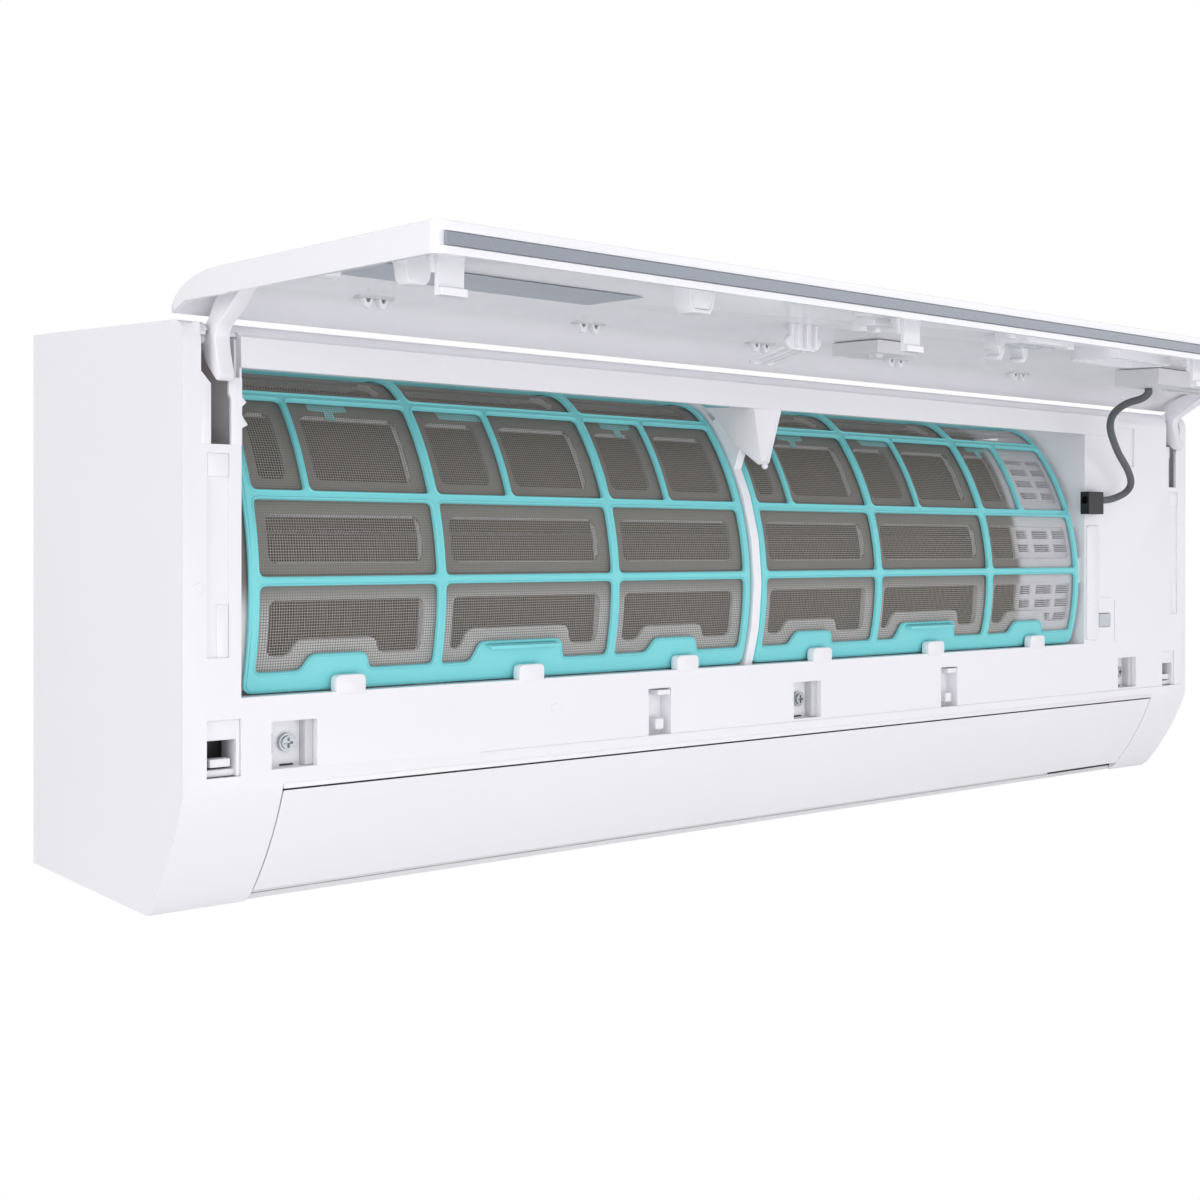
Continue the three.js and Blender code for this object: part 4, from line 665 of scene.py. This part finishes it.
# ---- underside of the front panel -------------------------------------------------------------
# These are drawn as x, distance from the hinge line and depth below the panel's skin, and start a
# little inside the skin.
ROOT = -0.3
SNAPS = ((-307, 27), (-174, 24), (-46, 24), (73, 24), (200, 24))
HOOK_BACK = (181.8, 183.9)
STOP_X = -371
CATCH_X = -236.5
BRACKET_X = -93
BLOCKS = (                  # x, distance from the hinge line, depth, rounding
    ((-389, -371), (92, 103), 6, 0.8),
    ((-131, -119), (168, 186), 5.5, 0.6),
    ((-118.5, -99), (160, 170), 8, 0.7),
    ((-98, -90), (166, 182), 4, 0.5),
    ((-116, -112.5), (154, 160.5), 10, 0.5),
    ((-106, -102.5), (154, 160.5), 10, 0.5),
    ((-22, -17), (174, 178), 7, 0.5),
    ((42, 48), (165, 169), 7, 0.5),
)


def hook_shoulders(bm):
    """Gussets that brace the four latch hooks; the last one stops short of the panel's end."""
    brace = [(-13, ROOT), (13, ROOT), (12.5, 3), (8, 6), (6.4, 13), (-6.4, 13), (-8, 6),
             (-12.5, 3)]
    side = [(174, ROOT), (183, ROOT), (183, 10), (180, 10)]
    for x in LATCH_X:
        reach = 9 if x == LATCH_X[-1] else 13
        extruded(bm, [(x + min(u, reach), v) for u, v in brace], *HOOK_BACK, "y", 0.4)
        for shift in (-5.6, 5.6):
            extruded(bm, side, x + shift - 0.7, x + shift + 0.7, "x", 0.3)


def stop_hook(bm):
    """Tapered stop with two shoulders, near the left end."""
    face = [(-10, ROOT), (10, ROOT), (10, 4.5), (6.2, 6), (5.2, 12), (3.4, 14), (-3.4, 14),
            (-5.2, 12), (-6.2, 6), (-10, 4.5)]
    extruded(bm, shifted(face, STOP_X), 150, 159, "y", 0.6, 3)
    brick(bm, (STOP_X - 3, STOP_X + 3), (148.5, 151), (2, 11), 0.5)


def u_catch(bm):
    """U-shaped catch, and the web across its back."""
    wall = [(-8.6, ROOT), (-6.8, 11), (-5, 13.8), (5, 13.8), (6.8, 11), (8.6, ROOT), (6.9, ROOT),
            (5.4, 10.4), (4.2, 12.2), (-4.2, 12.2), (-5.4, 10.4), (-6.9, ROOT)]
    back = [(-7.4, ROOT), (-6, 12), (6, 12), (7.4, ROOT)]
    extruded(bm, shifted(wall, CATCH_X), 165, 175, "y", 0.35)
    extruded(bm, shifted(back, CATCH_X), 173, 174.6, "y", 0.2)


def prong_bracket(bm):
    """Winged bracket whose two loops lean towards the hinge."""
    shield = [(-8.5, ROOT), (8.5, ROOT), (9.5, 6), (13.5, 9.5), (11.5, 12.5), (8, 14), (-8, 14),
              (-11.5, 12.5), (-13.5, 9.5), (-9.5, 6)]
    loop = [(-4.2, 100), (-3.8, 72), (-2.4, 69.4), (2.4, 69.4), (3.8, 72), (4.2, 100), (2.6, 100),
            (2.3, 73), (1.4, 71.4), (-1.4, 71.4), (-2.3, 73), (-2.6, 100)]
    for shift in (-5.4, 5.4):
        extruded(bm, shifted(loop, BRACKET_X + shift), 10, 12.4, "z", 0.4)
    for vert in bm.verts:
        vert.co.z += (100 - vert.co.y) * 0.25
    extruded(bm, shifted(shield, BRACKET_X), 98, 101.5, "y", 0.45, 3)
    for shift in (-6.6, 0, 6.6):
        x = BRACKET_X + shift
        brick(bm, (x - 0.7, x + 0.7), (95.5, 104), (1, 13), 0.25)


def snap_clips(bm):
    """Pairs of A-shaped snaps along the curled top of the panel."""
    leg = [(-3.4, 0.4), (-1, 6.2), (1, 6.2), (3.4, 0.4), (2, 0.4), (0.7, 3.6), (-0.7, 3.6),
           (-2, 0.4)]
    for x, away in SNAPS:
        for shift in (-4.2, 4.2):
            extruded(bm, shifted(leg, x + shift), away - 2.5, away + 1.5, "y", 0.2)


def snap_pads(bm):
    """Pad under each pair of snaps."""
    for x, away in SNAPS:
        pad = filleted(rectangle(x - 10, x + 10, away - 4.5, away + 3.5), 3)
        extruded(bm, pad, 0.2, 1.9, "z")


def small_fittings(bm):
    """Blocks, two hooks and a tray's rim moulded on the inside of the panel."""
    for x, away, depth, rounding in BLOCKS:
        brick(bm, x, away, (ROOT, depth), rounding)
    hook = [(-3, ROOT), (3, ROOT), (3, 9), (0.5, 13.5), (-3.5, 13.5), (-3.5, 11.5), (-1, 11),
            (-1.5, 8), (-3, 7)]
    for x in (13, 34):
        extruded(bm, shifted(hook, x), 138, 147, "y", 0.4)
    loops = [[bm.verts.new((x, away, depth)) for x, away in outline]
             for outline in (filleted(rectangle(92, 156, 134, 166), 9, 5),
                             filleted(rectangle(95, 153, 137, 163), 7, 5))
             for depth in (ROOT, 7.5)]
    outer_root, outer_top, inner_root, inner_top = loops
    bridged(bm, outer_root, outer_top)
    bridged(bm, outer_top, inner_top)
    bridged(bm, inner_top, inner_root)


def slotted_block(bm):
    brick(bm, (2, 40), (150, 172), (ROOT, 6.5), 0.8)


def painted_shade_block_slots(bm):
    # Grey plates on top of the slotted block: painted shade in its slots.
    for x in (6, 23):
        for away in (154, 162):
            brick(bm, (x, x + 12), (away, away + 4), (6.3, 6.9), 0.1)


def blue_pads(bm):
    for x in (-82, -72, 58):
        brick(bm, (x, x + 8), (160, 172), (-0.2, 0.8), 0.2)


# The arm's outline in y and z from the hinge line, with the panel shut: up the inside of the
# panel, over the hinge pin, round the tip behind it and back.
ARM_LINE = (
    (-24.2, -42), (-23.2, -29), (-21, -18), (-16.5, -10.5), (-8, -5), (-3.4, 4.4), (3.4, 4.6),
    (6, 0), (12, -4), (20, -14), (17.5, -17.5), (9, -14), (-3, -11), (-12, -26),
)
PIN_R = 2.5


def onto_panel(bm):
    """Takes x, distance from the hinge line and depth below the skin to the open panel."""
    turn = Matrix.Rotation(math.radians(-OPEN_ANGLE), 3, "X")
    hinge = Vector((0, HINGE_Y, HINGE_Z))
    for vert in bm.verts:
        x, away, depth = vert.co
        vert.co = (turn @ Vector((x, PANEL_SKIN + depth, -away)) + hinge) * MM


def panel_arm(side, middle):
    """Curved arm that carries the panel, with its hinge pin."""
    bm = bmesh.new()
    line = filleted([(-z, y - PANEL_SKIN) for y, z in ARM_LINE], 6, 5)
    extruded(bm, line, middle - 3.9, middle + 3.9, "x", 0.9, 3)
    extruded(bm, circle(0, -PANEL_SKIN, PIN_R, 20), middle - 8.4, middle + 8.4, "x", 0.3)
    onto_panel(bm)
    piece = new_piece(f"panel_arm_{side}_made", bm, CASING_WHITE, "panel", 40)
    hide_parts(f"panel_arm_{side}")


PANEL_PARTS = (
    ("latch_hook_braces", hook_shoulders, PANEL_WHITE),
    ("panel_stop_hook", stop_hook, PANEL_WHITE),
    ("panel_catch", u_catch, PANEL_WHITE),
    ("panel_bracket", prong_bracket, PANEL_WHITE),
    ("panel_snaps", snap_clips, PANEL_WHITE),
    ("panel_snap_pads", snap_pads, PAD_GREY),
    ("panel_fittings", small_fittings, PANEL_WHITE),
    ("slotted_block", slotted_block, PANEL_WHITE),
    # grey plates: painted shade in the slots of the slotted block
    ("painted_shade_block_slots", painted_shade_block_slots, GREY),
    ("blue_grey_pads", blue_pads, LABEL),
)


# ---- details of the casing --------------------------------------------------------------------
def detent_strips(bm):
    """Toothed strip beside each hinge slot, whose teeth hold the panel half open, and a cover."""
    strip = [(4.4, 108.5), (11, 108.5), (11, 99.8), (13.2, 97.5), (11, 95.5), (11, 91.5),
             (13.8, 87.2), (11, 85.8), (11, 77.8), (5.5, 77.8), (5.5, 99), (4.4, 101)]
    cover = [(-9.8, 111), (-4.4, 105), (-4.4, 77.8), (-9.8, 77.8)]
    for middle, way in zip(HINGE_SLOT_X, (1, -1)):
        for outline in (strip, cover):
            mirrored = [(middle + way * u, v) for u, v in outline]
            extruded(bm, mirrored, FRONT + 0.2, FRONT + 2.6, "y", 0.3)


def slot_linings(bm):
    """Inner walls seen through the hinge slots, warm grey as painted shade."""
    for middle in HINGE_SLOT_X:
        brick(bm, (middle - 8.6, middle + 8.6), (-139, -137.6), (75, 125), 0)


def channel_blocks(bm):
    """Shelf at the top and step near the foot of the channel in each stile."""
    for middle in CHANNEL_X:
        brick(bm, (middle - 5.4, middle + 5.4), (FRONT + 0.3, FRONT + 3), (63.5, 74), 0.5)
        brick(bm, (middle - 0.5, middle + 5.4), (FRONT + 0.8, FRONT + 3), (-18, 6), 0.4)


def filter_clip_caps(bm):
    """Rounded clips that hold the feet of the filters."""
    for left in FILTER_LEFT.values():
        for share in (0.164, 0.5, 0.843):
            x = left + share * FILTER_WIDTH
            cap = filleted(rectangle(x - 8.2, x + 8.2, -38, -28.6), 3)
            extruded(bm, cap, FRONT - 0.3, FRONT + 5.3, "y", 0.5)


def rail_marks(bm):
    """Ejector marks, the lip over the louver and the faint ridge above it."""
    disc(bm, -387.6, 13.6, 2.3, FRONT - 0.25, FRONT + 0.4)
    disc(bm, -184, -52.4, 2.6, FRONT - 0.15, FRONT + 0.4)
    disc(bm, -251.7, 121, 2.6, FRONT - 1.75, FRONT - 1.2)
    brick(bm, (-344.6, 387.6), (FRONT + 0.1, FRONT + 1.7), (-79.7, -77), 0.3)
    brick(bm, (-233, 430), (FRONT - 0.35, FRONT + 0.4), (-72.4, -71.7), 0.2)


def latch_catches(bm):
    """What each panel latch snaps over: a hook and a spring leg, or a step inside its hole."""
    for x in LATCH_X[1:3]:
        brick(bm, (x - 1, x + 8.2), (FRONT + 0.5, FRONT + 9.2), (-50, -47), 0.5)
        brick(bm, (x - 8.4, x - 7), (FRONT + 1.4, FRONT + 9.2), (-71.8, -50), 0.4)
        brick(bm, (x - 1, x + 5), (FRONT + 2.5, FRONT + 9.2), (-69, -63), 0.5)
    for x in (LATCH_X[0], LATCH_X[3]):
        brick(bm, (x - 8.4, x + 8.4), (FRONT + 2, FRONT + 8), (-55.2, -46.1), 0.5)
        brick(bm, (x + 6.5, x + 8.4), (FRONT + 1.4, FRONT + 16), (-71.9, -46.1), 0.4)
        brick(bm, (x - 6, x + 4.2), (FRONT + 2.6, FRONT + 9), (-67.4, -63.6), 0.5)
        brick(bm, (x - 8.4, x + 8.4), (FRONT + 4, FRONT + 9.5), (-71.9, -68.6), 0.5)


def painted_shade_latch_holes(bm):
    """Black sheets in the two outer latch holes: painted shade for their dark insides."""
    for x in (LATCH_X[0], LATCH_X[3]):
        brick(bm, (x - 8.4, x + 8.4), (FRONT + 16.5, FRONT + 17.5), (-72, -46), 0.2)


def painted_shade_cup_webs(bm):
    """Web on the right of each casing screw's cup, grey as painted shade of its side wall."""
    for x in SCREW_X:
        brick(bm, (x + 7.4, x + 11.9), (FRONT + 4, FRONT + 9.7), (-70.3, -48.5), 0.5)


def painted_shade_cup_slots(bm):
    """Black marks in each cup's floor, beside the screw and below it: painted shade of slots."""
    for x in SCREW_X:
        brick(bm, (x - 9.6, x - 7), (FRONT + 9.1, FRONT + 9.8), (-64, -55), 0.1)
        brick(bm, (x - 3, x + 4), (FRONT + 9.1, FRONT + 9.8), (-70.2, -69.4), 0.1)


def centre_fin(bm):
    """Deep fin under the cross bar: two walls that narrow to a ball tip, a trough between them."""
    profile = [(-176.2, 113), (-135, 116), (-149, 104), (-164, 90), (-171.5, 80.5),
               (-174.4, 81.5)]
    left = [bm.verts.new((-37.2 if z > 85 else -29.5, y, z)) for y, z in profile]
    right = [bm.verts.new((-14 if z > 100 else -18 if z > 85 else -22.5, y, z))
             for y, z in profile]
    faces = [bm.faces.new(left), bm.faces.new(right), *bridged(bm, left, right)]
    bmesh.ops.recalc_face_normals(bm, faces=faces)
    front = faces[2]
    bmesh.ops.inset_individual(bm, faces=[front], thickness=1.5, depth=-1.6)
    round_edges(bm, [e for e in bm.edges if e.calc_face_angle(0) > 0.5], 0.5)
    tip = Matrix.Translation((-25.5, -173.4, 79.8))
    bmesh.ops.create_uvsphere(bm, u_segments=16, v_segments=10, radius=1.9, matrix=tip)


def bay_details(bm):
    """Cover over the control bay: its rounded edge and the raised zone around the button."""
    edge = filleted(rectangle(301.5, 316, -34, 48), 2.5)
    extruded(bm, edge, FRONT - 1.4, FRONT + 0.4, "y", 0.7, 3)
    brick(bm, (338, 339), (FRONT - 0.3, FRONT + 0.4), (-36, -6), 0.1)
    zone = filleted(rectangle(311, 336, -35, -4), 3)
    hole = filleted(rectangle(315.2, 330.8, -25.3, -14.7), 1)
    tops = [[bm.verts.new((x, FRONT - 0.5, z)) for x, z in outline] for outline in (zone, hole)]
    filled(bm, [edge for top in tops for edge in closed_edges(bm, top)])
    for top in tops:
        bridged(bm, top, [bm.verts.new((v.co.x, FRONT + 0.3, v.co.z)) for v in top])


def in_place(bm):
    for vert in bm.verts:
        vert.co *= MM


CASING_PARTS = (
    ("detent_strips", detent_strips, CASING_WHITE),
    # warm grey linings: painted shade inside the hinge slots
    ("slot_linings", slot_linings, SLOT_SHADOW_BROWN),
    ("channel_blocks", channel_blocks, CASING_WHITE),
    ("filter_clip_caps", filter_clip_caps, CASING_WHITE),
    ("rail_marks", rail_marks, CASING_WHITE),
    ("latch_catches", latch_catches, CASING_WHITE),
    # black sheets: painted shade inside the outer latch holes
    ("painted_shade_latch_holes", painted_shade_latch_holes, BLACK),
    # grey webs: painted shade of the screw cups' side walls
    ("painted_shade_cup_webs", painted_shade_cup_webs, PAD_GREY),
    # black marks: painted shade of the slots in the screw cups
    ("painted_shade_cup_slots", painted_shade_cup_slots, BLACK),
    ("centre_fin", centre_fin, CASING_WHITE),
    ("bay_details", bay_details, CASING_WHITE),
)


def add_parts(parts, to_place, body):
    """Draws each part in millimetres and moves it to its place on the body."""
    for name, draw, material in parts:
        bm = bmesh.new()
        draw(bm)
        to_place(bm)
        new_piece(name, bm, material, body)


# ---- display lead -----------------------------------------------------------------------------
CABLE_ROUTE = (
    (257, -251.6, 137.3), (257, -251.4, 134.1), (256, -247, 130.8), (254, -238, 128.4),
    (253.6, -230, 124), (256.5, -224, 118.6), (265.6, -218, 110.8), (290, -208, 98.6),
    (315, -200, 87.2), (330.3, -193, 78.5), (333.7, -186.5, 72), (326, -181, 67.5),
    (316, -178.8, 66.2), (312.4, -178.6, 66),
)
CABLE_R = 2.5
CABLE_SIDES = 14


def smooth_line(points, steps=6):
    """A Catmull-Rom line through the points."""
    line = []
    ends = [2 * points[0] - points[1], *points, 2 * points[-1] - points[-2]]
    for a, b, c, d in zip(ends, ends[1:], ends[2:], ends[3:]):
        for step in range(steps):
            t = step / steps
            line.append(0.5 * (2 * b + (c - a) * t + (2 * a - 5 * b + 4 * c - d) * t * t
                               + (3 * b - a - 3 * c + d) * t ** 3))
    return [*line, points[-1]]


def tube(bm, line, radius):
    """A round tube along the line, with closed ends."""
    side = Vector((1, 0, 0))
    rings = []
    for i, here in enumerate(line):
        ahead = (line[min(i + 1, len(line) - 1)] - line[max(i - 1, 0)]).normalized()
        side = (side - ahead * side.dot(ahead)).normalized()
        up = ahead.cross(side)
        rings.append([bm.verts.new(here + side * u + up * v)
                      for u, v in circle(0, 0, radius, CABLE_SIDES)])
    for first, last in zip(rings, rings[1:]):
        bridged(bm, first, last)
    bm.faces.new(rings[0])
    bm.faces.new(rings[-1])


def display_lead():
    """The lead leaves the open panel, hangs in a bow and goes under its clip on the casing."""
    line = smooth_line([mm(*place) for place in CABLE_ROUTE])
    bm = bmesh.new()
    tube(bm, line, CABLE_R * MM)
    piece = add_object("display_lead", bm, CABLE_GREY)
    piece.data.shade_smooth()
    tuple(line[-1])
    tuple(line[0])
    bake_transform(piece)
    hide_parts("display_cable")
    length = sum((b - a).length for a, b in zip(line, line[1:]))
    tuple(line[0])


# ---- stage ------------------------------------------------------------------------------------
FLOOR_Z = -0.6              # metres, as are the places and sizes of the lamps below
LAMPS = (                   # name, place, aim, size, power
    ("key", (-1.2, -2.3, 0.5), (0, -0.1, 0), (1.8, 1.2), 9),
    ("fill", (1.9, -1.8, 0.3), (0, -0.1, 0), (1.6, 1.4), 6),
    ("low", (-0.2, -1.7, -0.55), (0, -0.25, 0.12), (2.0, 0.7), 10.5),
    ("side", (-2.2, -0.5, 0.2), (-0.4, -0.1, 0), (1.4, 1.4), 12),
)


def chosen_by(tree, mask, first, second, leave):
    """Sends the first shader on where the mask is 0, and the second where it is 1."""
    mix = tree.nodes.new("ShaderNodeMixShader")
    tree.links.new(mask, mix.inputs["Fac"])
    tree.links.new(first, mix.inputs[1])
    tree.links.new(second, mix.inputs[2])
    tree.links.new(mix.outputs["Shader"], leave)


def add_floor():
    """Pale floor that the camera sees as plain white."""
    material, nodes, _ = new_material("pale_floor")
    shader = nodes["Principled BSDF"]
    shader.inputs["Base Color"].default_value = (0.9, 0.9, 0.91, 1)
    shader.inputs["Roughness"].default_value = 0.9
    glow = nodes.new("ShaderNodeEmission")
    glow.inputs["Color"].default_value = (1, 1, 1, 1)
    glow.inputs["Strength"].default_value = 1.0
    path = nodes.new("ShaderNodeLightPath")
    chosen_by(material.node_tree, path.outputs["Is Camera Ray"], shader.outputs["BSDF"],
              glow.outputs["Emission"], nodes["Material Output"].inputs["Surface"])
    bm = bmesh.new()
    bmesh.ops.create_grid(bm, x_segments=2, y_segments=2, size=8,
                          matrix=Matrix.Translation((0, 0, FLOOR_Z)))
    add_object("floor", bm, material)


def add_world():
    """Soft light all round, which the camera sees as plain white, also through glass."""
    world = bpy.data.worlds.new("studio")
    bpy.context.scene.world = world
    world.use_nodes = True
    nodes, links = world.node_tree.nodes, world.node_tree.links
    soft = nodes["Background"]
    soft.inputs["Color"].default_value = (0.985, 0.975, 1.0, 1)
    soft.inputs["Strength"].default_value = 0.6
    plain = nodes.new("ShaderNodeBackground")
    plain.inputs["Color"].default_value = (1, 1, 1, 1)
    plain.inputs["Strength"].default_value = 1.0
    path = nodes.new("ShaderNodeLightPath")
    either = nodes.new("ShaderNodeMath")
    either.operation = "MAXIMUM"
    links.new(path.outputs["Is Camera Ray"], either.inputs[0])
    links.new(path.outputs["Is Transmission Ray"], either.inputs[1])
    chosen_by(world.node_tree, either.outputs[0], soft.outputs["Background"],
              plain.outputs["Background"], nodes["World Output"].inputs["Surface"])


def add_lamps():
    for name, place, aim, size, power in LAMPS:
        data = bpy.data.lights.new(name, "AREA")
        data.shape = "RECTANGLE"
        data.size, data.size_y = size
        data.energy = power
        lamp = bpy.data.objects.new(name, data)
        lamp.location = place
        lamp.rotation_euler = (Vector(aim) - Vector(place)).to_track_quat("-Z", "Y").to_euler()
        bpy.context.collection.objects.link(lamp)


# ---- everything, in order ---------------------------------------------------------------------
BODIES = frame["record"]["behaviour"]["bodies"]
BODY_OF = {node: body for body, nodes in BODIES.items() for node in nodes}

SOFTENED = {                # material, and rounding of the edges in millimetres
    "front_casing": (CASING_WHITE, 0.45),
    "coil_guard": (CASING_WHITE, 0.0),
    "front_panel": (PANEL_WHITE, 0.8),
    "louver": (CASING_WHITE, 0.6),
    "panel_trim_strip": (TRIM_GREY, 0.3),
    "display_housing": (CHASSIS_WHITE, 0.5),
    "sensor_box": (CHASSIS_WHITE, 0.6),
    "cable_clip": (BLACK, 0.6),
    "manual_button": (GREY, 0.5),
    "rear_chassis": (CHASSIS_WHITE, 0.4),
    "drain_pan": (CHASSIS_WHITE, 0.4),
    "motor_bracket": (CHASSIS_WHITE, 0.4),
    "control_box_cover": (CHASSIS_WHITE, 0.3),
    "wall_plate": (ZINC, 0.3),
    "terminal_block": (BLACK, 0.4),
}
# Solids that show as they are, with only a material.
PLAIN = {
    "blank_label": LABEL, "display_board": BOARD, "control_board": BOARD, "control_box": ZINC,
    "tube_sheet_left": ZINC, "tube_sheet_right": ZINC, "coil_tubes": COPPER,
    "gas_pipe": COPPER, "liquid_pipe": COPPER, "gas_flare_nut": BRASS,
    "liquid_flare_nut": BRASS, "cross_flow_fan": FAN_DARK, "fan_shaft": STEEL,
    "fan_bearing": RUBBER, "fan_motor": ZINC, "drain_plug": RUBBER,
    "casing_screw_left": STEEL, "casing_screw_middle": STEEL, "casing_screw_right": STEEL,
    "louver_motor": GREY, "vane_link_left": GREY, "vane_link_right": GREY,
    **{f"vane_{i}": CHASSIS_WHITE for i in range(1, 9)},
}

add_camera()
display_lead()
add_filters()
for side, middle in zip(FILTER_SIDES, HINGE_SLOT_X):
    panel_arm(side, middle)
add_parts(PANEL_PARTS, onto_panel, "panel")
add_parts(CASING_PARTS, in_place, "chassis")
for pack in ("coil_front_lower", "coil_front_upper", "coil_rear"):
    fin_pack(pack)
for node, (material, width) in SOFTENED.items():
    softened(node, material, BODY_OF[node], width)
for node, material in PLAIN.items():
    mesh = frame["nodes"][node].data
    mesh.materials.clear()
    mesh.materials.append(material)
add_floor()
add_world()
add_lamps()
bpy.context.scene.view_settings.view_transform = "Standard"
